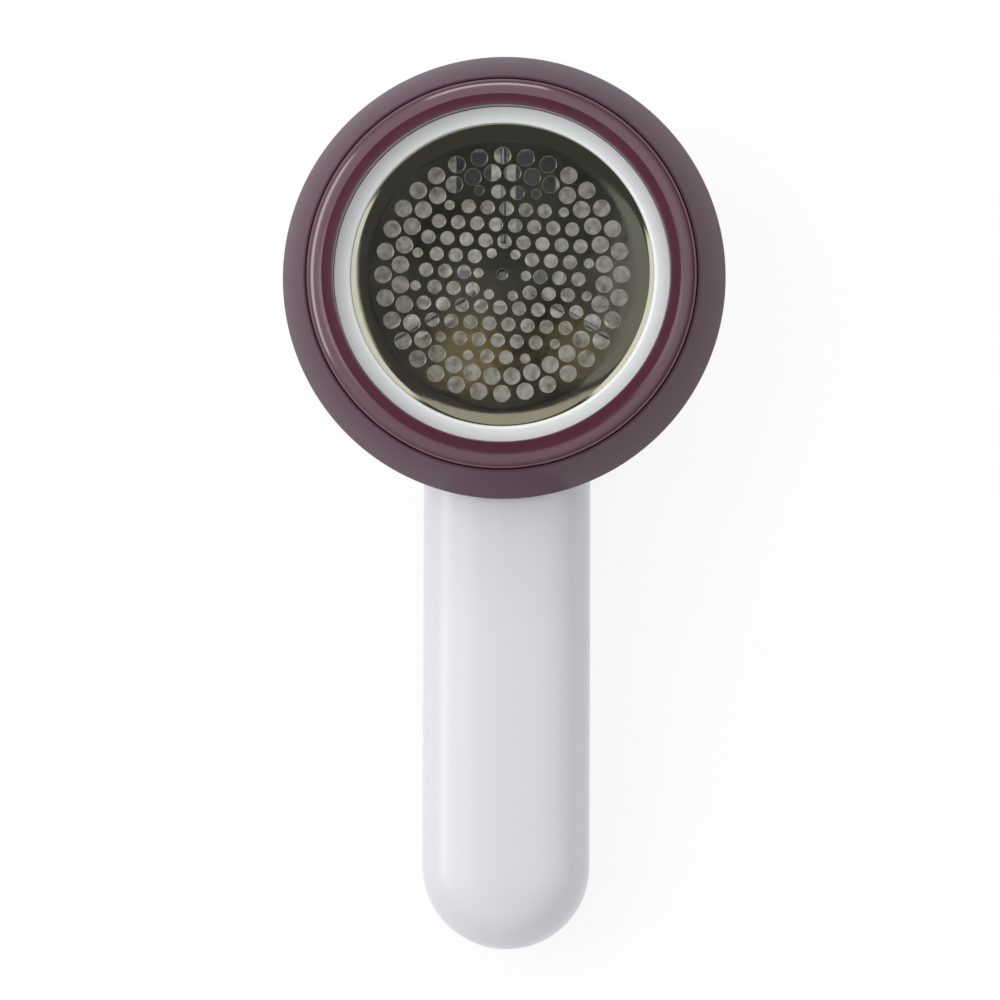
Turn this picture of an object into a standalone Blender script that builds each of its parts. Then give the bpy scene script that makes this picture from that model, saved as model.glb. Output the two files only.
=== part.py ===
"""Electric fabric shaver: a stick handle with two AA cells and a round shaving head.

It lies on its back. The origin is on the head's axis, on the flat back. +Z points out of the foil,
+Y away from the handle. All sizes are in metres.
"""

import math

import bmesh
import bpy
from mathutils import Matrix, Vector

# Handle
HANDLE_WIDTH = 0.0332
HANDLE_LENGTH = 0.1339  # from the head's axis to the tip
HANDLE_DEPTH = 0.0260
PARTING_Z = 0.0155  # where the two shells meet
CROWN_POWER = 2.4  # how square the front's crown is: 2 is an ellipse
BACK_RADIUS = 0.0090
WALL = 0.0016
GAP = 0.0003  # between pieces that rest on or fit in each other
EMBED = 0.0004  # how far a rib or boss reaches into the wall that it grows from

# Head, outwards from the foil
FOIL_RADIUS = 0.0312
FOIL_THICKNESS = 0.0005
FOIL_Z = 0.0339
CUP_WALL = 0.0015
TROUGH_DEPTH = 0.0118
CUP_FLANGE = 0.0016
LUG_DEPTH = 0.0007
LUG_WIDTH = 0.0060
LUG_HEIGHT = 0.0010
LUG_COUNT = 3
RING_SIGHT_RADIUS = 0.0304
RING_WALL = 0.0009
RING_LIP = 0.0008
RING_HEIGHT = 0.0070
GUARD_WIDTH = 0.00535
GUARD_RIM = 0.0022  # the flat working rim
GUARD_SHOULDER = 0.0022  # how far the shoulder falls
GUARD_EDGE_ANGLE = 55  # degrees: under 90 the shoulder meets the rim at an edge
GUARD_WALL = 0.0013
GUARD_TRAVEL = 0.0040
GUARD_INNER_HEIGHT = 0.0100
GUARD_OUTER_HEIGHT = 0.0080
BELL_STEP = 0.0015  # the bell's top lies this far under the guard's
BELL_REACH = 0.00525
BELL_WALL = 0.0014
BELL_LEVEL_SHARE = 1.15  # the wall measured level, across the sloping flank
BELL_STRAIGHT = 0.62  # how straight its flank is: 1 is a cone
BELL_THROAT = 0.0092
SAUCER_LIFT = 0.0008  # the saucer's rim stands this far above the handle's crown
SAUCER_START_Z = 0.0190
SAUCER_INSET = 0.0012  # its rim lies this far inside the bell's
POD_CLEARANCE = 0.0019  # round the cutter cup
POD_BACK_RADIUS = 0.0040
LEDGE_WIDTH = 0.0074
LEDGE_THICKNESS = 0.0016

# Foil holes: two rings of large holes round a hexagonal field
RING_HOLES = 32
HOLES_MARGIN = 0.00736  # from the foil's edge to the outer ring's centres
RING_WEB = 0.00071  # steel left between neighbours in the two rings
FIELD_GAP = 0.00085  # from the inner ring's holes to the field's
FIELD_WEB = 0.00113  # steel left between the field's holes
NEAR_WEB = 0.00058  # from the six holes nearest the centre to the next
FIELD_TURN = -3.7  # degrees
SMALL_HOLE_RADIUS = 0.00094
CENTRE_HOLE_RADIUS = 0.00105

# Drive
MOTOR_RADIUS = 0.01005
MOTOR_FLATS = 0.0152
MOTOR_LENGTH = 0.0220
MOTOR_CAP_LENGTH = 0.0046
MOTOR_CAP_STEP = 0.0005  # the end cap is this much smaller than the can
TERMINAL_WIDTH = 0.0022
TERMINAL_LENGTH = 0.0033
TERMINAL_THICKNESS = 0.0005
MOTOR_NOSE_RADIUS = 0.0030
MOTOR_NOSE_LENGTH = 0.0015
SHAFT_RADIUS = 0.0010
SHAFT_FOOT = 0.0040  # from the can's lower end up to the shaft's
SLEEVE_RADIUS = 0.0030
SLEEVE_FLANGE_RADIUS = 0.0048
SLEEVE_FLANGE = 0.0008
CARRIER_HUB_WALL = 0.0014
CARRIER_HUB_CAP = 0.0020
CARRIER_CHAMFER = 0.0006
CARRIER_ARM_WIDTH = 0.0048
CARRIER_ARM_THICKNESS = 0.0018
CARRIER_TRAVEL = 0.0012
BLADE_COUNT = 3
BLADE_LENGTH = 0.0200
BLADE_TIP_RADIUS = 0.0268
BLADE_HEIGHT = 0.0034
BLADE_THICKNESS = 0.0005
BLADE_SEAT = 0.0008
VANE_THICKNESS = 0.0012
SPRING_WIRE = 0.00025
SPRING_TURNS = 3

# Lint bin
BIN_WIDTH = 0.0436
BIN_BACK_Y = 0.0145
BIN_WALL = 0.0012
BIN_FLOOR_Z = 0.0043
CHUTE_WIDTH = 0.0200
CHUTE_FRONT_Y = 0.0160
CHUTE_BACK_Y = 0.0260
CHUTE_WALL = 0.0012
BIN_GRIP_WIDTH = 0.0140
BIN_GRIP_HEIGHT = 0.0060
BIN_GRIP_DEPTH = 0.0007

# Cooling slots in the back of the neck
VENT_COUNT = 5
VENT_PITCH = 0.0046
VENT_WIDTH = 0.0018
VENT_LENGTH = 0.0135
VENT_START_Y = -0.0300

# Power
CELL_RADIUS = 0.00725
CELL_LENGTH = 0.0505
CELL_NUB_RADIUS = 0.00275
CELL_NUB_LENGTH = 0.0010
CELL_SPACING = 0.0148
CELL_Z = 0.0095
CELL_EDGE = 0.0004
BAY_WALL_Y = -0.0624
RIB_THICKNESS = 0.0016
CONTACT_THICKNESS = 0.0004
CONTACT_WIDTH = 0.0100
CONTACT_HEIGHT = 0.0100
BRIDGE_HEIGHT = 0.0080
TAB_WIDTH = 0.0030
TAB_RISE = 0.0006  # how far the contacts' tabs stand above the parting
CELL_SPRING_LENGTH = 0.0045
CELL_SPRING_WIRE = 0.0003
CELL_SPRING_BASE_RADIUS = 0.0046
CELL_SPRING_TIP_RADIUS = 0.0030
CELL_SPRING_TURNS = 3
BRIDGE_RIB_DROP = 0.0045  # how far the far contact's rib reaches below the cells' axis
DOOR_EDGE_Z = 0.0080
DOOR_GRIP_WIDTH = 0.0120
DOOR_GRIP_DEPTH = 0.0006
DOOR_GRIP_PITCH = 0.0018
DOOR_GRIPS = 4
WIRE_RADIUS = 0.0006

# Switch, on the back of the neck
KNOB_LENGTH = 0.0090
KNOB_WIDTH = 0.0110
KNOB_HEIGHT = 0.0020
KNOB_TRAVEL = 0.0040
KNOB_RIBS = 4
KNOB_GROOVE = 0.0004
POCKET_Y = -0.0515  # the middle of the knob's pocket
POCKET_MARGIN = 0.0004
POCKET_DEPTH = 0.0028
LEVER_WIDTH = 0.0018
LEVER_LENGTH = 0.0024
SWITCH_BODY_SIZE = (0.0096, 0.0140, 0.0050)
LEVER_REACH = 0.0007  # how far the lever reaches into the switch, and into the knob
SWITCH_PIN_HEIGHT = 0.0033
SWITCH_PIN_WIDTH = 0.0014
SWITCH_PIN_THICKNESS = 0.0006
SWITCH_PIN_PITCH = 0.0040

# Screws
CASE_SCREW_HEAD_RADIUS = 0.0026
CASE_SCREW_HEAD = 0.0016
CASE_SCREW_RADIUS = 0.0012
CASE_SCREW_LENGTH = 0.0160
NECK_SCREW_Y = -0.0375
BOSS_ANGLE = -25  # degrees, where the other two lie beside the motor
CASE_SCREW_HEAD_DEPTH = 0.0006  # the heads lie this far under the back
BOSS_WALL = 0.0011
CROSS_WIDTH = 0.0006
CROSS_DEPTH = 0.0007
CUP_SCREW_RADIUS = 0.0010
CUP_SCREW_HEAD_RADIUS = 0.0019
CUP_SCREW_LENGTH = 0.0030
MOTOR_SCREW_RADIUS = 0.0008
MOTOR_SCREW_HEAD_RADIUS = 0.0016
MOTOR_SCREW_LENGTH = 0.0038
MOTOR_SCREW_CIRCLE = 0.0080
SMALL_HEAD = 0.0008

ROUND_STEPS = 40
INNER_STEPS = 32  # round what the shells hide
MOTOR_STEPS = 28
END_STEPS = 16  # round the handle's end
CROWN_STEPS = 7
HEAD_STEPS = 14
HOLE_STEPS = 8
SMOOTH_ANGLE = 35  # degrees

# Worked out from the sizes above
half_width = HANDLE_WIDTH / 2
end_y = half_width - HANDLE_LENGTH  # centre of the round end
foil_top_z = FOIL_Z + FOIL_THICKNESS
cup_top_z = FOIL_Z - GAP
cup_outer = FOIL_RADIUS + GAP
cup_inner = cup_outer - CUP_WALL
floor_z = cup_top_z - TROUGH_DEPTH
cup_base_z = floor_z - CUP_WALL
flange_radius = cup_outer + CUP_FLANGE
ring_inner = cup_outer + LUG_DEPTH + GAP
ring_outer = ring_inner + RING_WALL
ring_lip_z = foil_top_z + GAP
ring_top_z = ring_lip_z + RING_LIP
guard_inner = ring_outer + GAP
guard_outer = guard_inner + GUARD_WIDTH
guard_top_z = ring_top_z + GUARD_TRAVEL
throat_radius = guard_outer + GAP
bell_top_z = guard_top_z - BELL_STEP
bell_radius = throat_radius + BELL_REACH
saucer_z = HANDLE_DEPTH + SAUCER_LIFT
saucer_radius = bell_radius - SAUCER_INSET
bell_rim_z = saucer_z + GAP
pod_inner = cup_outer + POD_CLEARANCE
pod_outer = pod_inner + WALL
ledge_top_z = cup_base_z - GAP
ledge_z = ledge_top_z - LEDGE_THICKNESS
motor_z = WALL + 2 * GAP
motor_top_z = motor_z + MOTOR_LENGTH
boss_ceiling_z = motor_top_z + GAP
boss_top_z = boss_ceiling_z + CUP_WALL
motor_bore = MOTOR_RADIUS + GAP
boss_outer = motor_bore + CUP_WALL
bay_face_y = BAY_WALL_Y - RIB_THICKNESS
cells_y = bay_face_y - 2 * GAP - CONTACT_THICKNESS
bridge_y = cells_y - CELL_LENGTH - 2 * GAP - CELL_SPRING_LENGTH
knob_y = POCKET_Y - KNOB_TRAVEL / 2
pocket_floor_z = POCKET_DEPTH
pocket_inside_z = POCKET_DEPTH + WALL


def clear_scene():
    for obj in list(bpy.data.objects):
        bpy.data.objects.remove(obj, do_unlink=True)


def new_collection(name):
    collection = bpy.data.collections.new(name)
    bpy.context.scene.collection.children.link(collection)
    return collection


def new_material(name, colour, roughness, metallic=0.0, alpha=1.0):
    material = bpy.data.materials.new(name)
    material.use_nodes = True
    shader = material.node_tree.nodes["Principled BSDF"]
    shader.inputs["Base Color"].default_value = (*colour, 1.0)
    shader.inputs["Roughness"].default_value = roughness
    shader.inputs["Metallic"].default_value = metallic
    shader.inputs["Alpha"].default_value = alpha
    material.diffuse_color = (*colour, alpha)
    return material


def new_object(name, data, material=None):
    """A part when it has a material, and otherwise a helper that only shapes the parts."""
    obj = bpy.data.objects.new(name, data)
    if material:
        parts.objects.link(obj)
        data.materials.append(material)
    else:
        helpers.objects.link(obj)
        obj.hide_render = True
        obj.display_type = "WIRE"
    return obj


def mesh_object(name, shape, material=None):
    """Turns a bmesh into an object with smooth faces between its sharp edges."""
    bmesh.ops.recalc_face_normals(shape, faces=shape.faces)
    mesh = bpy.data.meshes.new(name)
    shape.to_mesh(mesh)
    shape.free()
    mesh.shade_smooth()
    mesh.set_sharp_from_angle(angle=math.radians(SMOOTH_ANGLE))
    return new_object(name, mesh, material)


def boolean(target, other, operation):
    modifier = target.modifiers.new(operation.title(), "BOOLEAN")
    modifier.operation = operation
    modifier.object = other
    modifier.solver = "EXACT"
    modifier.use_self = True


def cut(target, *others):
    for other in others:
        boolean(target, other, "DIFFERENCE")


def join(target, *others):
    for other in others:
        boolean(target, other, "UNION")


def box(name, low, high, material=None):
    shape = bmesh.new()
    bmesh.ops.create_cube(shape, size=1)
    size = [b - a for a, b in zip(low, high)]
    centre = [(a + b) / 2 for a, b in zip(low, high)]
    bmesh.ops.scale(shape, vec=size, verts=shape.verts)
    bmesh.ops.translate(shape, vec=centre, verts=shape.verts)
    return mesh_object(name, shape, material)


def cylinder(name, radius, low_z, high_z, at=(0, 0), steps=HOLE_STEPS, material=None):
    shape = bmesh.new()
    bmesh.ops.create_cone(
        shape,
        cap_ends=True,
        segments=steps,
        radius1=radius,
        radius2=radius,
        depth=high_z - low_z,
        matrix=Matrix.Translation((*at, (low_z + high_z) / 2)),
    )
    return mesh_object(name, shape, material)


def turned(name, profile, material=None, steps=ROUND_STEPS):
    """Turns (radius, z) points about Z. A profile off the axis is a loop, and one on it ends there."""
    area = sum(a[0] * b[1] - b[0] * a[1] for a, b in zip(profile, profile[1:] + profile[:1]))
    points = profile if area < 0 else profile[::-1]
    shape = bmesh.new()
    verts = [shape.verts.new((radius, 0, z)) for radius, z in points]
    for first, second in zip(verts, verts[1:] + verts[:1]):
        if first.co.x > 0 or second.co.x > 0:
            shape.edges.new((first, second))
    mesh = bpy.data.meshes.new(name)
    shape.to_mesh(mesh)
    shape.free()
    obj = new_object(name, mesh, material)
    screw = obj.modifiers.new("Turn", "SCREW")
    screw.steps = screw.render_steps = steps
    screw.use_merge_vertices = True
    screw.merge_threshold = 0.00001
    screw.use_smooth_shade = True
    return obj


def ring_sector(name, inner, outer, low_z, high_z, angle, width, material=None):
    """A small block on a ring: its middle lies at the angle, its width along the ring."""
    obj = box(name, (inner, -width / 2, low_z), (outer, width / 2, high_z), material)
    obj.data.transform(Matrix.Rotation(angle, 4, "Z"))
    return obj


def arc(centre, radii, start, end, steps):
    """Points on an ellipse from one angle to another, in degrees, without the first."""
    points = []
    for step in range(1, steps + 1):
        angle = math.radians(start + (end - start) * step / steps)
        points.append((centre[0] + radii[0] * math.cos(angle), centre[1] + radii[1] * math.sin(angle)))
    return points


def handle_section(inset, low_z, high_z):
    """Half of the handle's cross-section as (half width, z), from the back's middle to the front's."""
    radius = BACK_RADIUS - inset
    width = half_width - inset
    back = [(0, inset), (width - radius, inset)]
    back += arc((width - radius, inset + radius), (radius, radius), -90, 0, 4)
    back.append((width, PARTING_Z))
    crown = HANDLE_DEPTH - inset - PARTING_Z
    front = []
    for step in range(1, CROWN_STEPS):
        angle = math.pi / 2 * step / CROWN_STEPS
        reach = width * math.cos(angle) ** (2 / CROWN_POWER)
        front.append((reach, PARTING_Z + crown * math.sin(angle) ** (2 / CROWN_POWER)))
    front.append((0, PARTING_Z + crown))
    points = back + front
    clipped = []
    for first, second in zip(points, points[1:] + points[-1:]):
        if low_z <= first[1] <= high_z:
            clipped.append(first)
        for level in (low_z, high_z):
            if (first[1] - level) * (second[1] - level) < 0:
                share = (level - first[1]) / (second[1] - first[1])
                clipped.append((first[0] + share * (second[0] - first[0]), level))
    if clipped[0][0] > 0:
        clipped.insert(0, (0, clipped[0][1]))
    if clipped[-1][0] > 0:
        clipped.append((0, clipped[-1][1]))
    return clipped


def stick(name, inset, low_z, high_z, material=None):
    """The handle's solid: half its section turned round the end's axis, then drawn out to the head's axis."""
    section = handle_section(inset, low_z, high_z)
    shape = bmesh.new()
    verts = [shape.verts.new((-reach, end_y, z)) for reach, z in section]
    edges = [shape.edges.new(pair) for pair in zip(verts, verts[1:])]
    turn = {"cent": (0, end_y, 0), "axis": (0, 0, 1), "angle": math.pi}
    bmesh.ops.spin(shape, geom=verts + edges, steps=END_STEPS, **turn)
    bmesh.ops.remove_doubles(shape, verts=shape.verts, dist=1e-6)
    rim = [edge for edge in shape.edges if edge.is_boundary]
    drawn = bmesh.ops.extrude_edge_only(shape, edges=rim)["geom"]
    moved = [item for item in drawn if isinstance(item, bmesh.types.BMVert)]
    bmesh.ops.translate(shape, vec=(0, -end_y, 0), verts=moved)
    bmesh.ops.holes_fill(shape, edges=[edge for edge in shape.edges if edge.is_boundary], sides=0)
    return mesh_object(name, shape, material)


def handle_rib(name, low, high):
    """A wall across the handle that follows the shells' inner face."""
    rib = stick(name, WALL - EMBED, 0, HANDLE_DEPTH)
    boolean(rib, box(f"{name}_span", low, high), "INTERSECT")
    return rib


def saucer_curve(radius, top_z):
    """The pod's wall flares like a trumpet, from upright at its foot to level at its rim."""
    reach = saucer_radius - pod_outer
    return [
        (radius + reach * (1 - math.cos(angle)), SAUCER_START_Z + (top_z - SAUCER_START_Z) * math.sin(angle))
        for angle in [math.pi / 2 * step / 5 for step in range(6)]
    ]


def pod_back(inset, top_z):
    radius = POD_BACK_RADIUS - inset
    outer = pod_outer - inset
    corner = arc((outer - radius, inset + radius), (radius, radius), -90, 0, 3)
    return [(0, inset), (outer - radius, inset)] + corner + [(outer, top_z), (0, top_z)]


def hollow():
    """The space inside both shells."""
    handle = stick("inside_handle", WALL, 0, HANDLE_DEPTH)
    profile = pod_back(WALL, SAUCER_START_Z)[:-2] + saucer_curve(pod_inner, saucer_z)
    above = saucer_z + WALL
    head = turned("inside_head", profile + [(profile[-1][0], above), (0, above)], steps=INNER_STEPS)
    return [handle, head]


def boss_places():
    """Case screws: one in the neck and two beside the motor."""
    radius = pod_inner - CASE_SCREW_HEAD_RADIUS - BOSS_WALL
    angle = math.radians(BOSS_ANGLE)
    beside = [(side * radius * math.cos(angle), radius * math.sin(angle)) for side in (1, -1)]
    return [(0, NECK_SCREW_Y)] + beside


def cup_screw_places():
    radius = flange_radius - LEDGE_WIDTH / 2 - CUP_SCREW_HEAD_RADIUS / 2
    angles = [math.radians(angle) for angle in (3, 177, -65, -115)]
    return [(radius * math.cos(angle), radius * math.sin(angle)) for angle in angles]


def make_front_shell():
    low_z = PARTING_Z + GAP / 2
    shell = stick("front_shell", 0, low_z, HANDLE_DEPTH, white)
    curve = saucer_curve(pod_outer, saucer_z - WALL)
    profile = [(0, low_z), (pod_outer, low_z)] + curve + [(saucer_radius, saucer_z), (0, saucer_z)]
    join(shell, turned("front_pod", profile))
    cut(shell, *hollow())
    ledge_inner = flange_radius - LEDGE_WIDTH
    ledge = turned(
        "ledge",
        [
            (ledge_inner, ledge_z),
            (pod_inner + EMBED, ledge_z),
            (pod_inner + EMBED, ledge_top_z),
            (ledge_inner, ledge_top_z),
        ],
        steps=INNER_STEPS,
    )
    join(shell, ledge)
    bosses = boss_places()
    for number, (x, y) in enumerate(bosses, 1):
        top = HANDLE_DEPTH - WALL + EMBED if x == 0 else ledge_z + EMBED
        radius = CASE_SCREW_RADIUS + GAP + BOSS_WALL
        join(shell, cylinder(f"front_boss_{number}", radius, low_z, top, (x, y), HEAD_STEPS))
    rib_half = CELL_SPACING / 2 + CELL_NUB_RADIUS
    rib_y = bridge_y - CONTACT_THICKNESS - GAP
    rib_low = (-rib_half, rib_y - RIB_THICKNESS, CELL_Z - BRIDGE_RIB_DROP)
    join(shell, handle_rib("bridge_rib", rib_low, (rib_half, rib_y, HANDLE_DEPTH)))
    for number, (x, y) in enumerate(bosses, 1):
        depth = CASE_SCREW_HEAD_DEPTH + CASE_SCREW_HEAD + CASE_SCREW_LENGTH + GAP
        cut(shell, cylinder(f"front_pilot_{number}", CASE_SCREW_RADIUS + GAP, 0, depth, (x, y)))
    for number, (x, y) in enumerate(cup_screw_places(), 1):
        low_z, high_z = ledge_z - GAP, ledge_top_z + GAP
        hole = cylinder(f"ledge_hole_{number}", CUP_SCREW_RADIUS + GAP, low_z, high_z, (x, y))
        cut(shell, hole)
    cut(shell, bin_doorway("front_doorway"), chute_block("chute_clearance", GAP, ledge_z - GAP, cup_base_z))
    return shell


def rear_tray(name, material):
    """The hollow back half, before the battery door is cut from it."""
    high_z = PARTING_Z - GAP / 2
    shell = stick(name, 0, 0, high_z, material)
    join(shell, turned(f"{name}_pod", pod_back(0, high_z)))
    cut(shell, *hollow())
    return shell


def pocket_box(name, grow, low_z, high_z):
    half_x = KNOB_WIDTH / 2 + POCKET_MARGIN * 2 + grow
    half_y = (KNOB_LENGTH + KNOB_TRAVEL) / 2 + POCKET_MARGIN + grow
    return box(name, (-half_x, POCKET_Y - half_y, low_z), (half_x, POCKET_Y + half_y, high_z))


def bin_doorway(name):
    half = BIN_WIDTH / 2 + GAP
    low = (-half, BIN_BACK_Y + BIN_WALL, BIN_FLOOR_Z - GAP)
    return box(name, low, (half, pod_outer + WALL, ledge_z))


def make_rear_shell():
    shell = rear_tray("rear_shell", white)
    outside = half_width + GAP
    space_low = (-outside, -HANDLE_LENGTH - GAP, -GAP)
    door_space = box("door_space", space_low, (outside, bay_face_y - GAP, DOOR_EDGE_Z))
    cut(shell, door_space)
    rib_top_z = PARTING_Z - GAP
    join(shell, handle_rib("bay_rib", (-half_width, bay_face_y, 0), (half_width, BAY_WALL_Y, rib_top_z)))
    join(shell, pocket_box("pocket_wall", WALL, WALL / 2, pocket_inside_z))
    cut(shell, pocket_box("pocket", 0, -GAP, pocket_floor_z))
    slot_y = (LEVER_LENGTH + KNOB_TRAVEL) / 2 + 2 * GAP
    slot_x = LEVER_WIDTH / 2 + GAP
    slot_low = (-slot_x, POCKET_Y - slot_y, pocket_floor_z - GAP)
    cut(shell, box("lever_slot", slot_low, (slot_x, POCKET_Y + slot_y, pocket_inside_z + GAP)))
    for number, (x, y) in enumerate(boss_places(), 1):
        radius = CASE_SCREW_HEAD_RADIUS + GAP + BOSS_WALL
        join(shell, cylinder(f"rear_boss_{number}", radius, WALL - EMBED, PARTING_Z - GAP, (x, y), HEAD_STEPS))
    for number, (x, y) in enumerate(boss_places(), 1):
        seat_z = CASE_SCREW_HEAD_DEPTH + CASE_SCREW_HEAD + GAP
        seat_radius = CASE_SCREW_HEAD_RADIUS + GAP
        cut(shell, cylinder(f"rear_seat_{number}", seat_radius, -GAP, seat_z, (x, y), HEAD_STEPS))
        cut(shell, cylinder(f"rear_hole_{number}", CASE_SCREW_RADIUS + GAP, 0, PARTING_Z, (x, y)))
    for number in range(VENT_COUNT):
        x = (number - (VENT_COUNT - 1) / 2) * VENT_PITCH
        low = (x - VENT_WIDTH / 2, VENT_START_Y, -GAP)
        cut(shell, box(f"vent_{number}", low, (x + VENT_WIDTH / 2, VENT_START_Y + VENT_LENGTH, WALL + GAP)))
    cut(shell, bin_doorway("rear_doorway"))
    cradle = turned(
        "motor_cradle",
        [
            (motor_bore + GAP, WALL - EMBED),
            (boss_outer + GAP, WALL - EMBED),
            (boss_outer + GAP, motor_z + MOTOR_CAP_LENGTH),
            (motor_bore + GAP, motor_z + MOTOR_CAP_LENGTH),
        ],
        steps=MOTOR_STEPS,
    )
    notch = TERMINAL_WIDTH / 2 + 3 * GAP
    notch_low = (-pod_inner / 2, -notch, WALL + GAP)
    cut(cradle, box("terminal_notches", notch_low, (pod_inner / 2, notch, motor_z + MOTOR_CAP_LENGTH + GAP)))
    join(shell, cradle)
    return shell


def make_battery_door():
    door = rear_tray("battery_door", white)
    keep = box(
        "door_keep",
        (-half_width - GAP, -HANDLE_LENGTH - GAP, -GAP),
        (half_width + GAP, bay_face_y - 2 * GAP, DOOR_EDGE_Z - GAP),
    )
    boolean(door, keep, "INTERSECT")
    for number in range(DOOR_GRIPS):
        y = bay_face_y - (2 * number + 3) * DOOR_GRIP_PITCH / 2
        low = (-DOOR_GRIP_WIDTH / 2, y - DOOR_GRIP_PITCH / 2, -GAP)
        cut(door, box(f"door_grip_{number}", low, (DOOR_GRIP_WIDTH / 2, y, DOOR_GRIP_DEPTH)))
    return door


def chute_block(name, grow, low_z, high_z):
    half = CHUTE_WIDTH / 2 + CHUTE_WALL + grow
    low = (-half, CHUTE_FRONT_Y - CHUTE_WALL - grow, low_z)
    return box(name, low, (half, CHUTE_BACK_Y + CHUTE_WALL + grow, high_z))


def make_cutter_cup():
    nose_hole = MOTOR_NOSE_RADIUS + GAP
    cup = turned(
        "cutter_cup",
        [
            (nose_hole, boss_ceiling_z),
            (motor_bore, boss_ceiling_z),
            (motor_bore, cup_base_z),
            (flange_radius, cup_base_z),
            (flange_radius, floor_z),
            (cup_outer, floor_z),
            (cup_outer, cup_top_z),
            (cup_inner, cup_top_z),
            (cup_inner, floor_z),
            (boss_outer, floor_z),
            (boss_outer, boss_top_z),
            (nose_hole, boss_top_z),
        ],
        white,
        INNER_STEPS,
    )
    join(cup, chute_block("chute", 0, ledge_z, floor_z - EMBED))
    half = CHUTE_WIDTH / 2
    port = box("chute_port", (-half, CHUTE_FRONT_Y, ledge_z - GAP), (half, CHUTE_BACK_Y, floor_z + GAP))
    cut(cup, port)
    for number in range(LUG_COUNT):
        angle = math.tau * number / LUG_COUNT + math.pi / 2
        low_z = neck_lug_z()
        inner, outer = cup_outer - EMBED, cup_outer + LUG_DEPTH
        join(cup, ring_sector(f"neck_lug_{number}", inner, outer, low_z, low_z + LUG_HEIGHT, angle, LUG_WIDTH))
    for number, (x, y) in enumerate(cup_screw_places(), 1):
        pilot_radius = CUP_SCREW_RADIUS + GAP
        cut(cup, cylinder(f"cup_pilot_{number}", pilot_radius, cup_base_z - GAP, floor_z + GAP, (x, y)))
    for number, (x, y) in enumerate(motor_screw_places(), 1):
        hole = cylinder(
            f"boss_hole_{number}", MOTOR_SCREW_RADIUS + GAP, boss_ceiling_z - GAP, boss_top_z + GAP, (x, y)
        )
        cut(cup, hole)
    return cup


def neck_lug_z():
    return ring_lip_z - RING_HEIGHT + 2 * LUG_HEIGHT + GAP


def make_foil_ring():
    foot_z = ring_lip_z - RING_HEIGHT
    chamfer = RING_LIP * 0.6
    ring = turned(
        "foil_ring",
        [
            (RING_SIGHT_RADIUS, ring_lip_z),
            (ring_inner, ring_lip_z),
            (ring_inner, foot_z),
            (ring_outer, foot_z),
            (ring_outer, ring_top_z - chamfer),
            (ring_outer - chamfer, ring_top_z),
            (RING_SIGHT_RADIUS + chamfer, ring_top_z),
            (RING_SIGHT_RADIUS, ring_top_z - chamfer / 2),
        ],
        white,
    )
    for number in range(LUG_COUNT):
        angle = math.tau * number / LUG_COUNT + math.pi / 2
        low_z = neck_lug_z() - GAP - LUG_HEIGHT
        inner, outer = cup_outer + GAP, ring_inner + EMBED
        join(ring, ring_sector(f"ring_lug_{number}", inner, outer, low_z, low_z + LUG_HEIGHT, angle, LUG_WIDTH))
    return ring


def foil_holes():
    """Every hole as (x, y, radius, sides)."""
    holes = [(0, 0, CENTRE_HOLE_RADIUS, 6)]
    half_step = math.pi / RING_HOLES
    sine = math.sin(half_step)
    outer_radius = FOIL_RADIUS - HOLES_MARGIN
    # A hole of the inner ring and its two neighbours in the outer ring stand on an equal-sided triangle.
    inner_radius = outer_radius * (math.cos(half_step) - math.sqrt(3) * sine) / (1 - 4 * sine**2)
    ring_hole = inner_radius * sine - RING_WEB / 2
    for radius, shift in ((outer_radius, 0), (inner_radius, 1)):
        for number in range(RING_HOLES):
            angle = (2 * number + shift) * half_step
            holes.append((radius * math.cos(angle), radius * math.sin(angle), ring_hole, 8))
    # The field's farthest full-size hole lies 3 pitches along one row and 2 along the next.
    farthest = math.sqrt(3**2 + 3 * 2 + 2**2)
    pitch = (inner_radius - ring_hole - FIELD_GAP + FIELD_WEB / 2) / (farthest + 0.5)
    field_hole = (pitch - FIELD_WEB) / 2
    turn = math.radians(FIELD_TURN)
    for number in range(6):
        angle = turn + math.tau * number / 6
        radius = 2 * pitch - field_hole - SMALL_HOLE_RADIUS - NEAR_WEB
        holes.append((radius * math.cos(angle), radius * math.sin(angle), SMALL_HOLE_RADIUS, 6))
    for a in range(-5, 6):
        for b in range(-5, 6):
            ring = max(abs(a), abs(b), abs(a + b))
            if ring < 2 or ring > 5:
                continue
            corner = ring == 5 and 0 in (a, b, a + b)
            if corner:
                continue
            across = pitch * (a + b / 2)
            up = pitch * b * math.sqrt(3) / 2
            x = across * math.cos(turn) - up * math.sin(turn)
            y = across * math.sin(turn) + up * math.cos(turn)
            beside_corner = ring == 5 and 1 in (abs(a), abs(b), abs(a + b))
            holes.append((x, y, SMALL_HOLE_RADIUS if beside_corner else field_hole, 6))
    return holes


def polygon_spline(curve, x, y, radius, sides):
    spline = curve.splines.new("POLY")
    spline.points.add(sides - 1)
    for number, point in enumerate(spline.points):
        angle = math.tau * (number + 0.5) / sides
        point.co = (x + radius * math.cos(angle), y + radius * math.sin(angle), 0, 1)
    spline.use_cyclic_u = True


def make_foil():
    """A flat outline with its holes, thickened."""
    curve = bpy.data.curves.new("shaver_foil", "CURVE")
    curve.dimensions = "2D"
    curve.fill_mode = "BOTH"
    curve.extrude = FOIL_THICKNESS / 2
    polygon_spline(curve, 0, 0, FOIL_RADIUS, ROUND_STEPS)
    for hole in foil_holes():
        polygon_spline(curve, *hole)
    foil = new_object("shaver_foil", curve, steel)
    foil.location.z = FOIL_Z + FOIL_THICKNESS / 2
    return foil


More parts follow.
